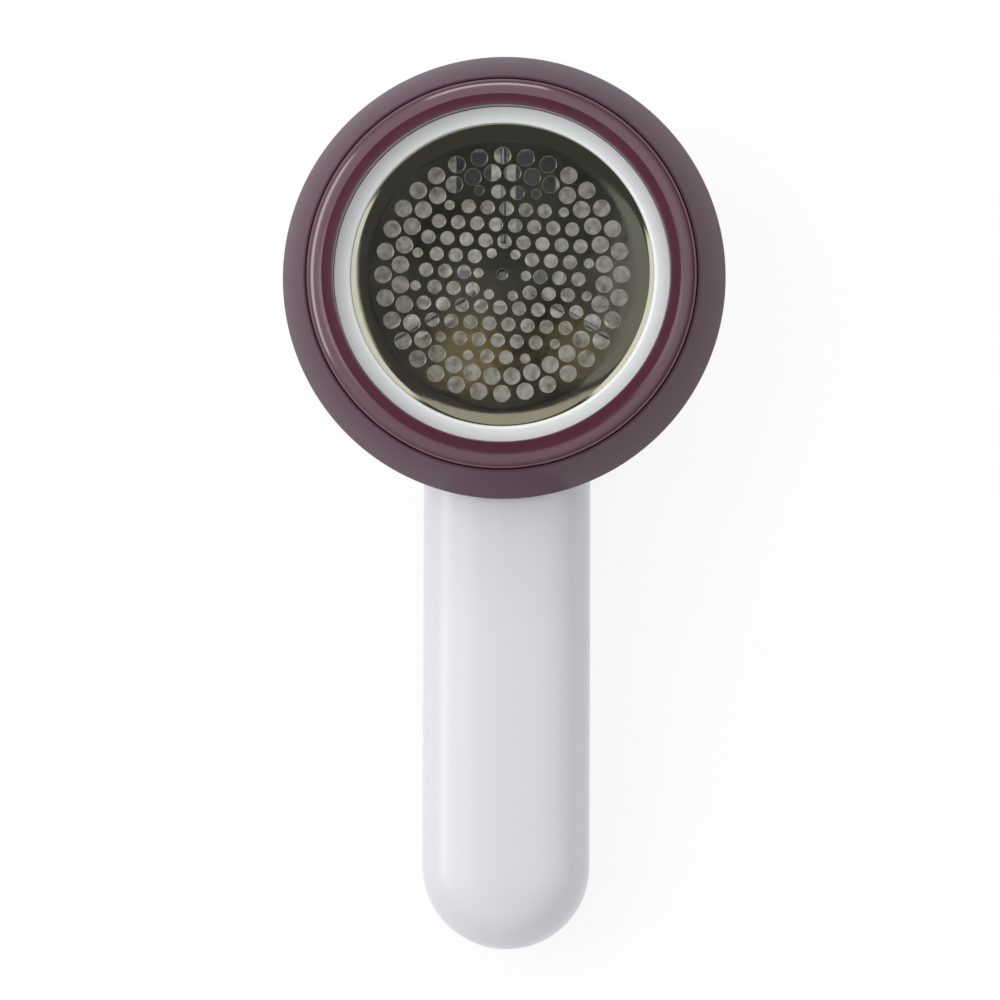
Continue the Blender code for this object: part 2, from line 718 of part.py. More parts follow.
def make_guard():
    shoulder_z = guard_top_z - GUARD_SHOULDER
    rim = guard_inner + GUARD_RIM
    inner_foot = guard_top_z - GUARD_INNER_HEIGHT
    outer_foot = guard_top_z - GUARD_OUTER_HEIGHT
    profile = [(guard_inner, inner_foot), (guard_inner, guard_top_z), (rim, guard_top_z)]
    edge = math.radians(GUARD_EDGE_ANGLE)
    reach = (guard_outer - rim) / (1 - math.cos(edge))
    radii = (reach, GUARD_SHOULDER / math.sin(edge))
    profile += arc((guard_outer - reach, shoulder_z), radii, GUARD_EDGE_ANGLE, 0, 4)
    profile += [
        (guard_outer, outer_foot),
        (guard_outer - GUARD_WALL, outer_foot),
        (guard_outer - GUARD_WALL, shoulder_z),
        (guard_inner + GUARD_WALL, shoulder_z),
        (guard_inner + GUARD_WALL, inner_foot),
    ]
    return turned("guard_ring", profile, burgundy)


def make_bell():
    throat_foot = bell_top_z - BELL_THROAT
    height = bell_top_z - bell_rim_z
    throat_back = throat_radius + BELL_WALL

    def flank(share, inset):
        fall = BELL_STRAIGHT * share + (1 - BELL_STRAIGHT) * share**2
        return throat_radius + BELL_REACH * share - inset, bell_top_z - height * fall

    profile = [(throat_radius, throat_foot)]
    profile += [flank(step / 6, 0) for step in range(7)]
    inset = BELL_WALL * BELL_LEVEL_SHARE
    meet = (BELL_WALL + inset) / BELL_REACH
    profile += [flank(1 - (1 - meet) * step / 3, inset) for step in range(4)]
    profile.append((throat_back, throat_foot))
    return turned("head_bell", profile, burgundy)


def make_lint_bin():
    """A drawer whose front follows the pod's round wall."""
    half = BIN_WIDTH / 2
    top_z = ledge_z - GAP
    drawer = turned(
        "lint_bin", [(0, BIN_FLOOR_Z), (pod_outer, BIN_FLOOR_Z), (pod_outer, top_z), (0, top_z)], burgundy
    )
    block = box("bin_block", (-half, BIN_BACK_Y, BIN_FLOOR_Z - GAP), (half, pod_outer + WALL, top_z + GAP))
    boolean(drawer, block, "INTERSECT")
    inner, above = pod_outer - BIN_WALL, top_z + WALL
    room = turned("bin_room", [(0, 0), (inner, 0), (inner, above), (0, above)])
    trim = half - BIN_WALL
    low = (-trim, BIN_BACK_Y + BIN_WALL, BIN_FLOOR_Z + BIN_WALL)
    sides = box("bin_sides", low, (trim, pod_outer + WALL, above + WALL))
    boolean(room, sides, "INTERSECT")
    cut(drawer, room)
    grip_z = (BIN_FLOOR_Z + top_z) / 2
    grip_low = (-BIN_GRIP_WIDTH / 2, pod_outer - BIN_GRIP_DEPTH, grip_z - BIN_GRIP_HEIGHT / 2)
    grip_high = (BIN_GRIP_WIDTH / 2, pod_outer + WALL, grip_z + BIN_GRIP_HEIGHT / 2)
    cut(drawer, box("bin_grip", grip_low, grip_high))
    return drawer


def sleeve_base_z():
    return boss_top_z + GAP


def make_drive():
    """Motor, shaft, driver, spring, carrier and blades, all on the head's axis."""
    cap_top_z = motor_z + MOTOR_CAP_LENGTH
    can_z = cap_top_z + GAP
    nose_z = motor_top_z + MOTOR_NOSE_LENGTH
    shaft_foot_z = can_z + SHAFT_FOOT
    bore = SHAFT_RADIUS + GAP
    can = turned(
        "motor_can",
        [
            (0, can_z),
            (MOTOR_RADIUS, can_z),
            (MOTOR_RADIUS, motor_top_z),
            (MOTOR_NOSE_RADIUS, motor_top_z),
            (MOTOR_NOSE_RADIUS, nose_z),
            (bore, nose_z),
            (bore, shaft_foot_z),
            (0, shaft_foot_z),
        ],
        steel,
        steps=MOTOR_STEPS,
    )
    flats = box("motor_flats", (-1, -MOTOR_FLATS / 2, 0), (1, MOTOR_FLATS / 2, 1))
    boolean(can, flats, "INTERSECT")
    for number, (x, y) in enumerate(motor_screw_places(), 1):
        foot = boss_top_z + GAP - MOTOR_SCREW_LENGTH - GAP
        cut(can, cylinder(f"can_hole_{number}", MOTOR_SCREW_RADIUS + GAP, foot, motor_top_z + GAP, (x, y)))
    cap_radius = MOTOR_RADIUS - MOTOR_CAP_STEP
    cap = cylinder("motor_end_cap", cap_radius, motor_z, cap_top_z, steps=MOTOR_STEPS, material=dark_plastic)
    boolean(cap, box("cap_flats", (-1, -MOTOR_FLATS / 2, 0), (1, MOTOR_FLATS / 2, 1)), "INTERSECT")
    for number, side in enumerate((1, -1), 1):
        start = cap_radius + GAP
        low_x, high_x = sorted((side * start, side * (start + TERMINAL_LENGTH)))
        half = TERMINAL_WIDTH / 2
        tab_z = motor_z + MOTOR_CAP_LENGTH / 2
        top = tab_z + TERMINAL_THICKNESS
        box(f"motor_terminal_{number}", (low_x, -half, tab_z), (high_x, half, top), brass)

    blade_top_z = FOIL_Z - GAP
    blade_foot_z = blade_top_z - BLADE_HEIGHT
    hub_top_z = blade_top_z - GAP
    hub_z = hub_top_z - CARRIER_HUB_CAP
    shaft_top_z = hub_top_z - CARRIER_TRAVEL - GAP
    cylinder("motor_shaft", SHAFT_RADIUS, shaft_foot_z + GAP, shaft_top_z, steps=12, material=blade_steel)

    sleeve_z = sleeve_base_z()
    flange_top_z = sleeve_z + SLEEVE_FLANGE
    sleeve = cylinder("drive_sleeve", SLEEVE_RADIUS, sleeve_z + GAP, shaft_top_z, steps=6, material=brass)
    join(sleeve, cylinder("sleeve_flange", SLEEVE_FLANGE_RADIUS, sleeve_z, flange_top_z, steps=18))
    cut(sleeve, cylinder("sleeve_bore", bore, sleeve_z - GAP, shaft_top_z + GAP, steps=12))

    spring_inner = SLEEVE_RADIUS + GAP
    coil_radius = spring_inner + GAP + SPRING_WIRE
    coil(
        "carrier_spring",
        (0, 0, flange_top_z + GAP + SPRING_WIRE),
        (0, 0, hub_z - GAP - SPRING_WIRE),
        (coil_radius, coil_radius),
        SPRING_WIRE,
        SPRING_TURNS,
    )

    skirt_inner = coil_radius + SPRING_WIRE + 2 * GAP
    hub_outer = skirt_inner + CARRIER_HUB_WALL
    skirt_z = flange_top_z + CARRIER_TRAVEL + GAP
    arm_top_z = blade_foot_z + BLADE_SEAT
    arm_z = arm_top_z - CARRIER_ARM_THICKNESS
    carrier = turned(
        "blade_carrier",
        [
            (0, hub_z),
            (skirt_inner, hub_z),
            (skirt_inner, skirt_z),
            (hub_outer, skirt_z),
            (hub_outer, hub_top_z - CARRIER_CHAMFER),
            (hub_outer - CARRIER_CHAMFER, hub_top_z),
            (0, hub_top_z),
        ],
        white,
        steps=24,
    )
    arm_start = skirt_inner + EMBED
    vane_foot_z = floor_z + CARRIER_TRAVEL + 2 * GAP
    blade_start = BLADE_TIP_RADIUS - BLADE_LENGTH
    for number in range(BLADE_COUNT):
        angle = math.tau * number / BLADE_COUNT + math.pi / 2
        arm_end = BLADE_TIP_RADIUS + 2 * GAP
        arm = ring_sector(
            f"carrier_arm_{number}", arm_start, arm_end, arm_z, arm_top_z, angle, CARRIER_ARM_WIDTH
        )
        vane = ring_sector(
            f"carrier_vane_{number}",
            boss_outer + WALL,
            arm_end - EMBED,
            vane_foot_z,
            arm_z + EMBED,
            angle,
            VANE_THICKNESS,
        )
        join(carrier, arm, vane)
    for number in range(BLADE_COUNT):
        angle = math.tau * number / BLADE_COUNT + math.pi / 2
        slot = ring_sector(
            f"blade_slot_{number}",
            blade_start - GAP,
            BLADE_TIP_RADIUS + 4 * GAP,
            blade_foot_z - GAP,
            blade_top_z + GAP,
            angle,
            BLADE_THICKNESS + 2 * GAP,
        )
        cut(carrier, slot)
        ring_sector(
            f"cutter_blade_{number + 1}",
            blade_start,
            BLADE_TIP_RADIUS,
            blade_foot_z,
            blade_top_z,
            angle,
            BLADE_THICKNESS,
            blade_steel,
        )
    cut(carrier, cylinder("carrier_bore", SLEEVE_RADIUS + GAP, hub_z - GAP, hub_top_z + GAP, steps=6))


def coil(name, start, end, radii, wire, turns, points_a_turn=10):
    """A spring along the line from start to end, whose radius runs from the first to the second."""
    first, last = Vector(start), Vector(end)
    along = (last - first).normalized()
    side = along.orthogonal().normalized()
    other = along.cross(side)
    count = turns * points_a_turn
    curve = bpy.data.curves.new(name, "CURVE")
    curve.dimensions = "3D"
    curve.fill_mode = "FULL"
    curve.use_fill_caps = True
    curve.bevel_depth = wire
    curve.bevel_resolution = 1
    spline = curve.splines.new("POLY")
    spline.points.add(count)
    least = 1.0
    places = []
    for number, point in enumerate(spline.points):
        share = number / count
        angle = math.tau * turns * share
        radius = radii[0] + (radii[1] - radii[0]) * share
        place = first.lerp(last, share) + radius * (math.cos(angle) * side + math.sin(angle) * other)
        places.append(place)
        point.co = (*place, 1)
    for number, place in enumerate(places):
        for later in places[number + points_a_turn // 2 :]:
            least = min(least, (later - place).length - 2 * wire)
    print(f"{name}: least gap to itself {least * 1000:.2f} mm")
    new_object(name, curve, spring_steel)


def wire(name, points, material):
    """An insulated wire on a smooth curve through its points."""
    curve = bpy.data.curves.new(name, "CURVE")
    curve.dimensions = "3D"
    curve.fill_mode = "FULL"
    curve.use_fill_caps = True
    curve.bevel_depth = WIRE_RADIUS
    curve.bevel_resolution = 2
    vectors = [Vector(point) for point in points]
    smooth = []
    steps = 3
    for number in range(len(vectors) - 1):
        before = vectors[max(number - 1, 0)]
        a, b = vectors[number], vectors[number + 1]
        after = vectors[min(number + 2, len(vectors) - 1)]
        for step in range(steps):
            t = step / steps
            bend = (2 * a) + (b - before) * t + (2 * before - 5 * a + 4 * b - after) * t**2
            smooth.append(0.5 * (bend + (3 * a - before - 3 * b + after) * t**3))
    smooth.append(vectors[-1])
    spline = curve.splines.new("POLY")
    spline.points.add(len(smooth) - 1)
    for point, place in zip(spline.points, smooth):
        point.co = (*place, 1)
    return new_object(name, curve, material)


def motor_screw_places():
    return [(side * MOTOR_SCREW_CIRCLE, 0) for side in (1, -1)]


def screw(name, head_radius, head, radius, length, place, head_z, up=True, cross=False):
    """A pan head with its shank. The head's outer face lies at head_z and the shank runs up or down."""
    way = 1 if up else -1
    neck_z = head_z + way * head
    tip_z = head_z + way * (head + length)
    obj = cylinder(name, head_radius, min(head_z, neck_z), max(head_z, neck_z), place, HEAD_STEPS, screw_steel)
    shank_z = neck_z - way * head / 2
    join(obj, cylinder(f"{name}_shank", radius, min(shank_z, tip_z), max(shank_z, tip_z), place))
    if not cross:
        return
    reach, half = head_radius * 0.6, CROSS_WIDTH / 2
    low_z, high_z = sorted((head_z - way * GAP, head_z + way * CROSS_DEPTH))
    for number, turn in enumerate((0, math.pi / 2)):
        slot = box(f"{name}_drive_{number}", (-reach, -half, low_z), (reach, half, high_z))
        slot.data.transform(Matrix.Translation((*place, 0)) @ Matrix.Rotation(turn, 4, "Z"))
        cut(obj, slot)


def make_screws():
    for number, place in enumerate(boss_places(), 1):
        screw(
            f"case_screw_{number}",
            CASE_SCREW_HEAD_RADIUS,
            CASE_SCREW_HEAD,
            CASE_SCREW_RADIUS,
            CASE_SCREW_LENGTH,
            place,
            CASE_SCREW_HEAD_DEPTH,
            cross=True,
        )
    for number, place in enumerate(cup_screw_places(), 1):
        head_z = ledge_z - GAP - SMALL_HEAD
        screw(
            f"cup_screw_{number}",
            CUP_SCREW_HEAD_RADIUS,
            SMALL_HEAD,
            CUP_SCREW_RADIUS,
            CUP_SCREW_LENGTH,
            place,
            head_z,
        )
    for number, place in enumerate(motor_screw_places(), 1):
        head_z = boss_top_z + GAP + SMALL_HEAD
        screw(
            f"motor_screw_{number}",
            MOTOR_SCREW_HEAD_RADIUS,
            SMALL_HEAD,
            MOTOR_SCREW_RADIUS,
            MOTOR_SCREW_LENGTH,
            place,
            head_z,
            up=False,
        )


def cell(name, x, nub_y, way):
    """An AA cell along Y. Its nub's face lies at nub_y and the can runs the given way from it."""
    profile = [(0, 0), (CELL_NUB_RADIUS, 0), (CELL_NUB_RADIUS, -CELL_NUB_LENGTH)]
    profile += [(CELL_RADIUS - CELL_EDGE, -CELL_NUB_LENGTH), (CELL_RADIUS, -CELL_NUB_LENGTH - CELL_EDGE)]
    profile += [(CELL_RADIUS, CELL_EDGE - CELL_LENGTH), (CELL_RADIUS - CELL_EDGE, -CELL_LENGTH)]
    profile.append((0, -CELL_LENGTH))
    obj = turned(name, profile, cell_green, steps=20)
    obj.rotation_euler.x = way * math.pi / 2
    obj.location = (x, nub_y, CELL_Z)


def make_power():
    half_gap = CELL_SPACING / 2
    cell("battery_1", half_gap, cells_y, -1)
    cell("battery_2", -half_gap, cells_y - CELL_SPRING_LENGTH - GAP - CELL_LENGTH, 1)
    plate_z = CELL_Z - CONTACT_HEIGHT / 2
    plate_y = bay_face_y - GAP
    tab_top = PARTING_Z + TAB_RISE
    for name, x in (("contact_positive", half_gap), ("contact_negative", -half_gap)):
        low = (x - CONTACT_WIDTH / 2, plate_y - CONTACT_THICKNESS, plate_z)
        plate = box(name, low, (x + CONTACT_WIDTH / 2, plate_y, plate_z + CONTACT_HEIGHT), brass)
        tab_low = (x - TAB_WIDTH / 2, plate_y - CONTACT_THICKNESS, CELL_Z)
        tab = box(f"{name}_tab", tab_low, (x + TAB_WIDTH / 2, plate_y, tab_top))
        join(plate, tab)
    half_bridge = (CELL_SPACING + CONTACT_WIDTH) / 2
    low = (-half_bridge, bridge_y - CONTACT_THICKNESS, CELL_Z - BRIDGE_HEIGHT / 2)
    box("contact_bridge", low, (half_bridge, bridge_y, CELL_Z + BRIDGE_HEIGHT / 2), brass)
    wire_radius = CELL_SPRING_WIRE
    radii = (CELL_SPRING_BASE_RADIUS, CELL_SPRING_TIP_RADIUS)
    base_y = bridge_y + GAP + wire_radius
    tip_y = cells_y - CELL_LENGTH - GAP - wire_radius
    start, end = (half_gap, base_y, CELL_Z), (half_gap, tip_y, CELL_Z)
    coil("battery_spring_1", start, end, radii, wire_radius, CELL_SPRING_TURNS)
    base_y = plate_y - CONTACT_THICKNESS - GAP - wire_radius
    tip_y = cells_y - CELL_SPRING_LENGTH + wire_radius
    start, end = (-half_gap, base_y, CELL_Z), (-half_gap, tip_y, CELL_Z)
    coil("battery_spring_2", start, end, radii, wire_radius, CELL_SPRING_TURNS)


def make_switch():
    knob_z = pocket_floor_z - GAP - KNOB_HEIGHT
    half = KNOB_LENGTH / 2
    knob = box(
        "switch_knob",
        (-KNOB_WIDTH / 2, knob_y - half, knob_z),
        (KNOB_WIDTH / 2, knob_y + half, knob_z + KNOB_HEIGHT),
        burgundy,
    )
    rib_pitch = KNOB_LENGTH / (KNOB_RIBS + 1)
    for number in range(KNOB_RIBS):
        y = knob_y + (number - (KNOB_RIBS - 1) / 2) * rib_pitch
        groove = box(
            f"knob_groove_{number}",
            (-KNOB_WIDTH / 2 - GAP, y - rib_pitch / 4, knob_z - GAP),
            (KNOB_WIDTH / 2 + GAP, y + rib_pitch / 4, knob_z + KNOB_GROOVE),
        )
        cut(knob, groove)
    body_x, body_y, body_height = SWITCH_BODY_SIZE
    body_z = pocket_inside_z + GAP
    lever_foot = knob_z + KNOB_HEIGHT - LEVER_REACH
    lever_x, lever_y = LEVER_WIDTH / 2, LEVER_LENGTH / 2
    socket = box(
        "knob_socket",
        (-lever_x - GAP, knob_y - lever_y - GAP, lever_foot - GAP),
        (lever_x + GAP, knob_y + lever_y + GAP, knob_z + KNOB_HEIGHT + GAP),
    )
    cut(knob, socket)
    lever_top = body_z + LEVER_REACH
    box(
        "switch_lever",
        (-lever_x, knob_y - lever_y, lever_foot),
        (lever_x, knob_y + lever_y, lever_top),
        dark_plastic,
    )
    body = box(
        "switch_body",
        (-body_x / 2, POCKET_Y - body_y / 2, body_z),
        (body_x / 2, POCKET_Y + body_y / 2, body_z + body_height),
        blade_steel,
    )
    track_y = (LEVER_LENGTH + KNOB_TRAVEL) / 2 + 2 * GAP
    track = box(
        "switch_track",
        (-lever_x - GAP, POCKET_Y - track_y, body_z - GAP),
        (lever_x + GAP, POCKET_Y + track_y, lever_top + GAP),
    )
    cut(body, track)
    top_z = body_z + body_height
    for number in (-1, 0, 1):
        y = POCKET_Y + number * SWITCH_PIN_PITCH
        low = (-SWITCH_PIN_WIDTH / 2, y - SWITCH_PIN_THICKNESS / 2, top_z - EMBED)
        high = (SWITCH_PIN_WIDTH / 2, y + SWITCH_PIN_THICKNESS / 2, top_z + SWITCH_PIN_HEIGHT)
        join(body, box(f"switch_pin_{number}", low, high))
    return top_z + SWITCH_PIN_HEIGHT


def wire_route(start, end, bends):
    """Points from start to end. A bend is a share of the way, then how far it lies aside and above."""
    points = [start]
    for share, aside, above in bends:
        x, y, z = (a + (b - a) * share for a, b in zip(start, end))
        points.append((x + aside, y, z + above))
    return points + [end]


def make_wires(pin_z):
    half_gap = CELL_SPACING / 2
    contact_y = bay_face_y - GAP - CONTACT_THICKNESS / 2
    lead_z = PARTING_Z + TAB_RISE + GAP + WIRE_RADIUS
    pin_top = pin_z + GAP + WIRE_RADIUS
    terminal_x = MOTOR_RADIUS - MOTOR_CAP_STEP + TERMINAL_LENGTH + 2 * GAP + WIRE_RADIUS
    terminal_z = motor_z + MOTOR_CAP_LENGTH / 2
    slack = WIRE_RADIUS * 2
    plus, minus = (half_gap, contact_y, lead_z), (-half_gap, contact_y, lead_z)
    first_pin, middle_pin = (0, POCKET_Y - SWITCH_PIN_PITCH, pin_top), (0, POCKET_Y, pin_top)
    wire("wire_battery", wire_route(plus, first_pin, [(0.3, slack, slack), (0.7, 0, slack)]), red)
    to_motor = [(0.1, 2 * slack, slack), (0.25, 3 * slack, slack / 2), (0.75, 4 * slack, 0)]
    wire("wire_motor_plus", wire_route(middle_pin, (terminal_x, 0, terminal_z), to_motor), red)
    from_cells = [(0.06, 0, slack), (0.2, 0, slack), (0.4, 0, slack / 2), (0.8, -3 * slack, 0)]
    wire("wire_motor_minus", wire_route(minus, (-terminal_x, 0, terminal_z), from_cells), black)


clear_scene()
parts = new_collection("electric_fabric_shaver")
helpers = new_collection("cutters")
white = new_material("white_abs", (0.86, 0.87, 0.90), 0.25)
burgundy = new_material("smoky_burgundy", (0.17, 0.05, 0.08), 0.2, alpha=0.92)
steel = new_material("bright_steel", (0.62, 0.61, 0.58), 0.15, 1.0)
blade_steel = new_material("ground_steel", (0.55, 0.55, 0.56), 0.3, 1.0)
spring_steel = new_material("spring_steel", (0.45, 0.45, 0.46), 0.35, 1.0)
screw_steel = new_material("zinc_screw", (0.50, 0.50, 0.52), 0.4, 1.0)
brass = new_material("brass", (0.70, 0.52, 0.25), 0.3, 1.0)
dark_plastic = new_material("dark_nylon", (0.04, 0.04, 0.045), 0.5)
cell_green = new_material("cell_sleeve", (0.05, 0.20, 0.10), 0.35)
red = new_material("red_insulation", (0.55, 0.03, 0.03), 0.5)
black = new_material("black_insulation", (0.02, 0.02, 0.02), 0.5)

make_front_shell()
make_rear_shell()
make_battery_door()
make_cutter_cup()
make_foil_ring()
make_foil()
make_guard()
make_bell()
make_lint_bin()
make_drive()
make_screws()
make_power()
make_wires(make_switch())

for part_object in parts.objects:
    if part_object.type == "MESH":
        part_object.modifiers.new("Normals", "WEIGHTED_NORMAL")
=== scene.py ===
import bmesh
import bpy
import numpy as np
from mathutils import Matrix, Vector
from mathutils.geometry import delaunay_2d_cdt


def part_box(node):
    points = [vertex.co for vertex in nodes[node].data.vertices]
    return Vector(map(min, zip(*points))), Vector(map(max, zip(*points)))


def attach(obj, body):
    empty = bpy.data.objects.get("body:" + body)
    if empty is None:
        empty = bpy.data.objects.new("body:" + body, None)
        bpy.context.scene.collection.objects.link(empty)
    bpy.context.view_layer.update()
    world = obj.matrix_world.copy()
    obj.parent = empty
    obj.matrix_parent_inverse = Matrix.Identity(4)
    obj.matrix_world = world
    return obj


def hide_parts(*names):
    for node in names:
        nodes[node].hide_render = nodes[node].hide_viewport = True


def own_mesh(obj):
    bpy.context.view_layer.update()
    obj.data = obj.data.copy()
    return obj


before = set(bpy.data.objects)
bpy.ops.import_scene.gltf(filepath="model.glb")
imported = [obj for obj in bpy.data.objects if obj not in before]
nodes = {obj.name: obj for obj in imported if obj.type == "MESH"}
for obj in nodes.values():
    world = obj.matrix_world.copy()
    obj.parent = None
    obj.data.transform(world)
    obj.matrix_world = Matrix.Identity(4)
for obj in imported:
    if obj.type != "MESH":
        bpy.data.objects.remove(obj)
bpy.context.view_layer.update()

scene = bpy.context.scene
mm = 0.001  # sizes are typed in millimetres and turned to metres where the mesh is made
tiny = 1e-6  # millimetres under which two points of an outline count as one
print("frame loaded:", len(nodes), "nodes")


# sRGB hex to the linear colour that a shader takes
def linear(code):
    values = np.array([int(code[i:i + 2], 16) for i in (1, 3, 5)]) / 255
    values = np.where(values <= 0.04045, values / 12.92, ((values + 0.055) / 1.055) ** 2.4)
    return (*values.tolist(), 1.0)


# adds one node, sets its options and socket values, and links its inputs
def addNode(tree, kind, values=None, links=None, **options):
    node = tree.nodes.new(kind)
    for name, value in options.items():
        setattr(node, name, value)
    for socket, value in (values or {}).items():
        node.inputs[socket].default_value = value
    for socket, source in (links or {}).items():
        tree.links.new(source, node.inputs[socket])
    return node


# a material whose shader has its own sockets set; the caller adds what varies over the surface
def newMaterial(name, sockets):
    material = bpy.data.materials.new(name)
    material.use_nodes = True
    tree = material.node_tree
    shader = tree.nodes["Principled BSDF"]
    for socket, value in sockets.items():
        shader.inputs[socket].default_value = value
    place = addNode(tree, "ShaderNodeTexCoord").outputs["Object"]
    return material, tree, shader, place


# a colour that drifts between two near tones, size in millimetres; patchy sets how much of the noise is
# spread over the whole way from one tone to the other
def driftColour(tree, shader, place, first, second, size, detail=3, patchy=(0, 1)):
    noise = addNode(tree, "ShaderNodeTexNoise", {"Scale": 1000 / size, "Detail": detail}, {"Vector": place})
    share = addNode(tree, "ShaderNodeMapRange", {"From Min": patchy[0], "From Max": patchy[1]},
                    {"Value": noise.outputs["Fac"]})
    mix = addNode(tree, "ShaderNodeMix", {6: linear(first), 7: linear(second)},
                  {0: share.outputs[0]}, data_type="RGBA")
    tree.links.new(mix.outputs[2], shader.inputs["Base Color"])


# an uneven surface: a noise of the given size in millimetres, raised by height in millimetres, on top of the
# unevenness that is already there
def roughen(tree, shader, place, size, height, detail=2, stretch=None, over=None):
    if stretch:
        place = addNode(tree, "ShaderNodeMapping", {"Scale": stretch}, {"Vector": place}).outputs[0]
    noise = addNode(tree, "ShaderNodeTexNoise", {"Scale": 1000 / size, "Detail": detail}, {"Vector": place})
    links = {"Height": noise.outputs["Fac"]}
    if over:
        links["Normal"] = over
    bump = addNode(tree, "ShaderNodeBump", {"Strength": 1.0, "Distance": height * mm}, links)
    tree.links.new(bump.outputs["Normal"], shader.inputs["Normal"])
    return bump.outputs["Normal"]


# gloss that wanders a little, as handled plastic does; the noise seldom leaves the span from 0.3 to 0.7
def wanderGloss(tree, shader, place, low, high, size):
    noise = addNode(tree, "ShaderNodeTexNoise", {"Scale": 1000 / size, "Detail": 4.0}, {"Vector": place})
    spread = addNode(tree, "ShaderNodeMapRange",
                     {"From Min": 0.3, "From Max": 0.7, "To Min": low, "To Max": high},
                     {"Value": noise.outputs["Fac"]})
    tree.links.new(spread.outputs[0], shader.inputs["Roughness"])


# each finish has its material's name and sockets; drift, two tones, a size and what else driftColour takes;
# gloss, the roughness from low to high and a size; and reliefs, each a size and a height, laid over the last.
# All sizes are millimetres
metal = {"Metallic": 1.0}
looks = {
    # Glossy white ABS, injection moulded in a polished tool: a bright skin with a faint orange peel
    "whiteAbs": ("glossyWhiteAbs", {"IOR": 1.53}, ("#E2E3EA", "#E0E1E8", 30), (0.28, 0.32, 14),
                 [(2.6, 0.0015)]),
    # The foil ring's white: its cooler tint is its own, and its lighter tone makes up for the shade that the
    # guard ring casts on it (painted light)
    "ringAbs": ("glossyRingAbs", {"IOR": 1.53}, ("#F6FAFB", "#F2F6F7", 30), (0.28, 0.32, 14),
                [(2.6, 0.0015)]),
    # The same ABS inside the case, from the untreated side of the tool: duller. Its white is lighter than the
    # outer case's to make up for the dim light inside (painted light), and random grey patches stand in for
    # the blades' shade seen through the foil (painted shade)
    "innerAbs": ("innerWhiteAbs", {"IOR": 1.53}, ("#FFFDF6", "#8C897F", 1.7, 6, (0.38, 0.8)),
                 (0.35, 0.5, 4), [(0.9, 0.01)]),
    # Burgundy SAN, moulded and polished: a deep wine body under a clear, hard gloss
    "burgundy": ("burgundySan", {"IOR": 1.57, "Specular IOR Level": 0.8}, ("#582B3C", "#522737", 26),
                 (0.1, 0.16, 11), [(3.0, 0.003)]),
    # The skirt's smoky grade of it: satin, with a little light going in and coming back. Its greyer, lighter
    # colour stands in for the pale room's reflection (painted reflection), and its own gloss is set almost to
    # nothing
    "smoky": ("smokyBurgundySan", {"IOR": 1.45, "Specular IOR Level": 0.05, "Transmission Weight": 0.03},
              ("#614855", "#5A414E", 34), (0.18, 0.26, 11), [(3.0, 0.003)]),
    # Thin stainless steel, cold rolled and mirror polished: it shows the room, a little wavy and warm
    "foilSteel": ("polishedStainless", metal, ("#CFCDBD", "#C6C4B1", 12), (0.035, 0.06, 3),
                  [(16, 0.012, 1), (3.2, 0.004)]),
    # Hardened blade steel, ground on its faces: fine parallel lines that break up the shine
    "bladeSteel": ("groundBladeSteel", metal, ("#C2C2C3", "#ABACAE", 1.6, 4), (0.28, 0.36, 1.2),
                   [(0.5, 0.004, 2, (1, 1, 12))]),
    # Drawn spring wire, oil tempered: grey and even
    "springSteel": ("drawnSpringSteel", metal, ("#A9A9AB", "#939496", 0.9), (0.28, 0.4, 0.8), []),
    # Zinc plated screw steel, cold headed: bluish bright with a dull bloom
    "zinc": ("zincPlatedSteel", metal, ("#BFC2C6", "#A4A7AC", 1.1, 4), (0.28, 0.44, 0.7), [(0.4, 0.006)]),
    # Stamped brass for contacts and terminals: yellow, a little tarnished
    "brass": ("stampedBrass", metal, ("#D9B46A", "#B98F47", 2.4, 4), (0.28, 0.4, 1.5), []),
    # Black glass-filled nylon, moulded: matt and faintly speckled
    "nylon": ("mouldedBlackNylon", {"IOR": 1.53}, ("#26262A", "#1D1D20", 0.7, 4), (0.42, 0.6, 1.0),
              [(0.5, 0.01)]),
    # PVC insulation, extruded over the wire: soft gloss
    "redPvc": ("extrudedRedPvc", {"IOR": 1.54}, ("#B3201E", "#A01A1A", 3), (0.3, 0.42, 2), []),
    "blackPvc": ("extrudedBlackPvc", {"IOR": 1.54}, ("#1B1B1D", "#252527", 3), (0.3, 0.42, 2), [])}
finishes = {}
for finish, (name, sockets, drift, gloss, reliefs) in looks.items():
    material, tree, shader, place = newMaterial(name, sockets)
    driftColour(tree, shader, place, *drift)
    wanderGloss(tree, shader, place, *gloss)
    normal = None
    for relief in reliefs:
        normal = roughen(tree, shader, place, *relief, over=normal)
    finishes[finish] = material
print("finishes:", len(finishes))


# the faces of a grid of points: each cell is a four-sided face
def gridFaces(rows, columns, wrapRows=False, wrapColumns=False):
    index = np.arange(rows * columns).reshape(rows, columns)
    if wrapRows:
        index = np.vstack([index, index[:1]])
    if wrapColumns:
        index = np.hstack([index, index[:, :1]])
    cells = np.stack([index[:-1, :-1], index[:-1, 1:], index[1:, 1:], index[1:, :-1]], axis=-1)
    return cells.reshape(-1, 4)


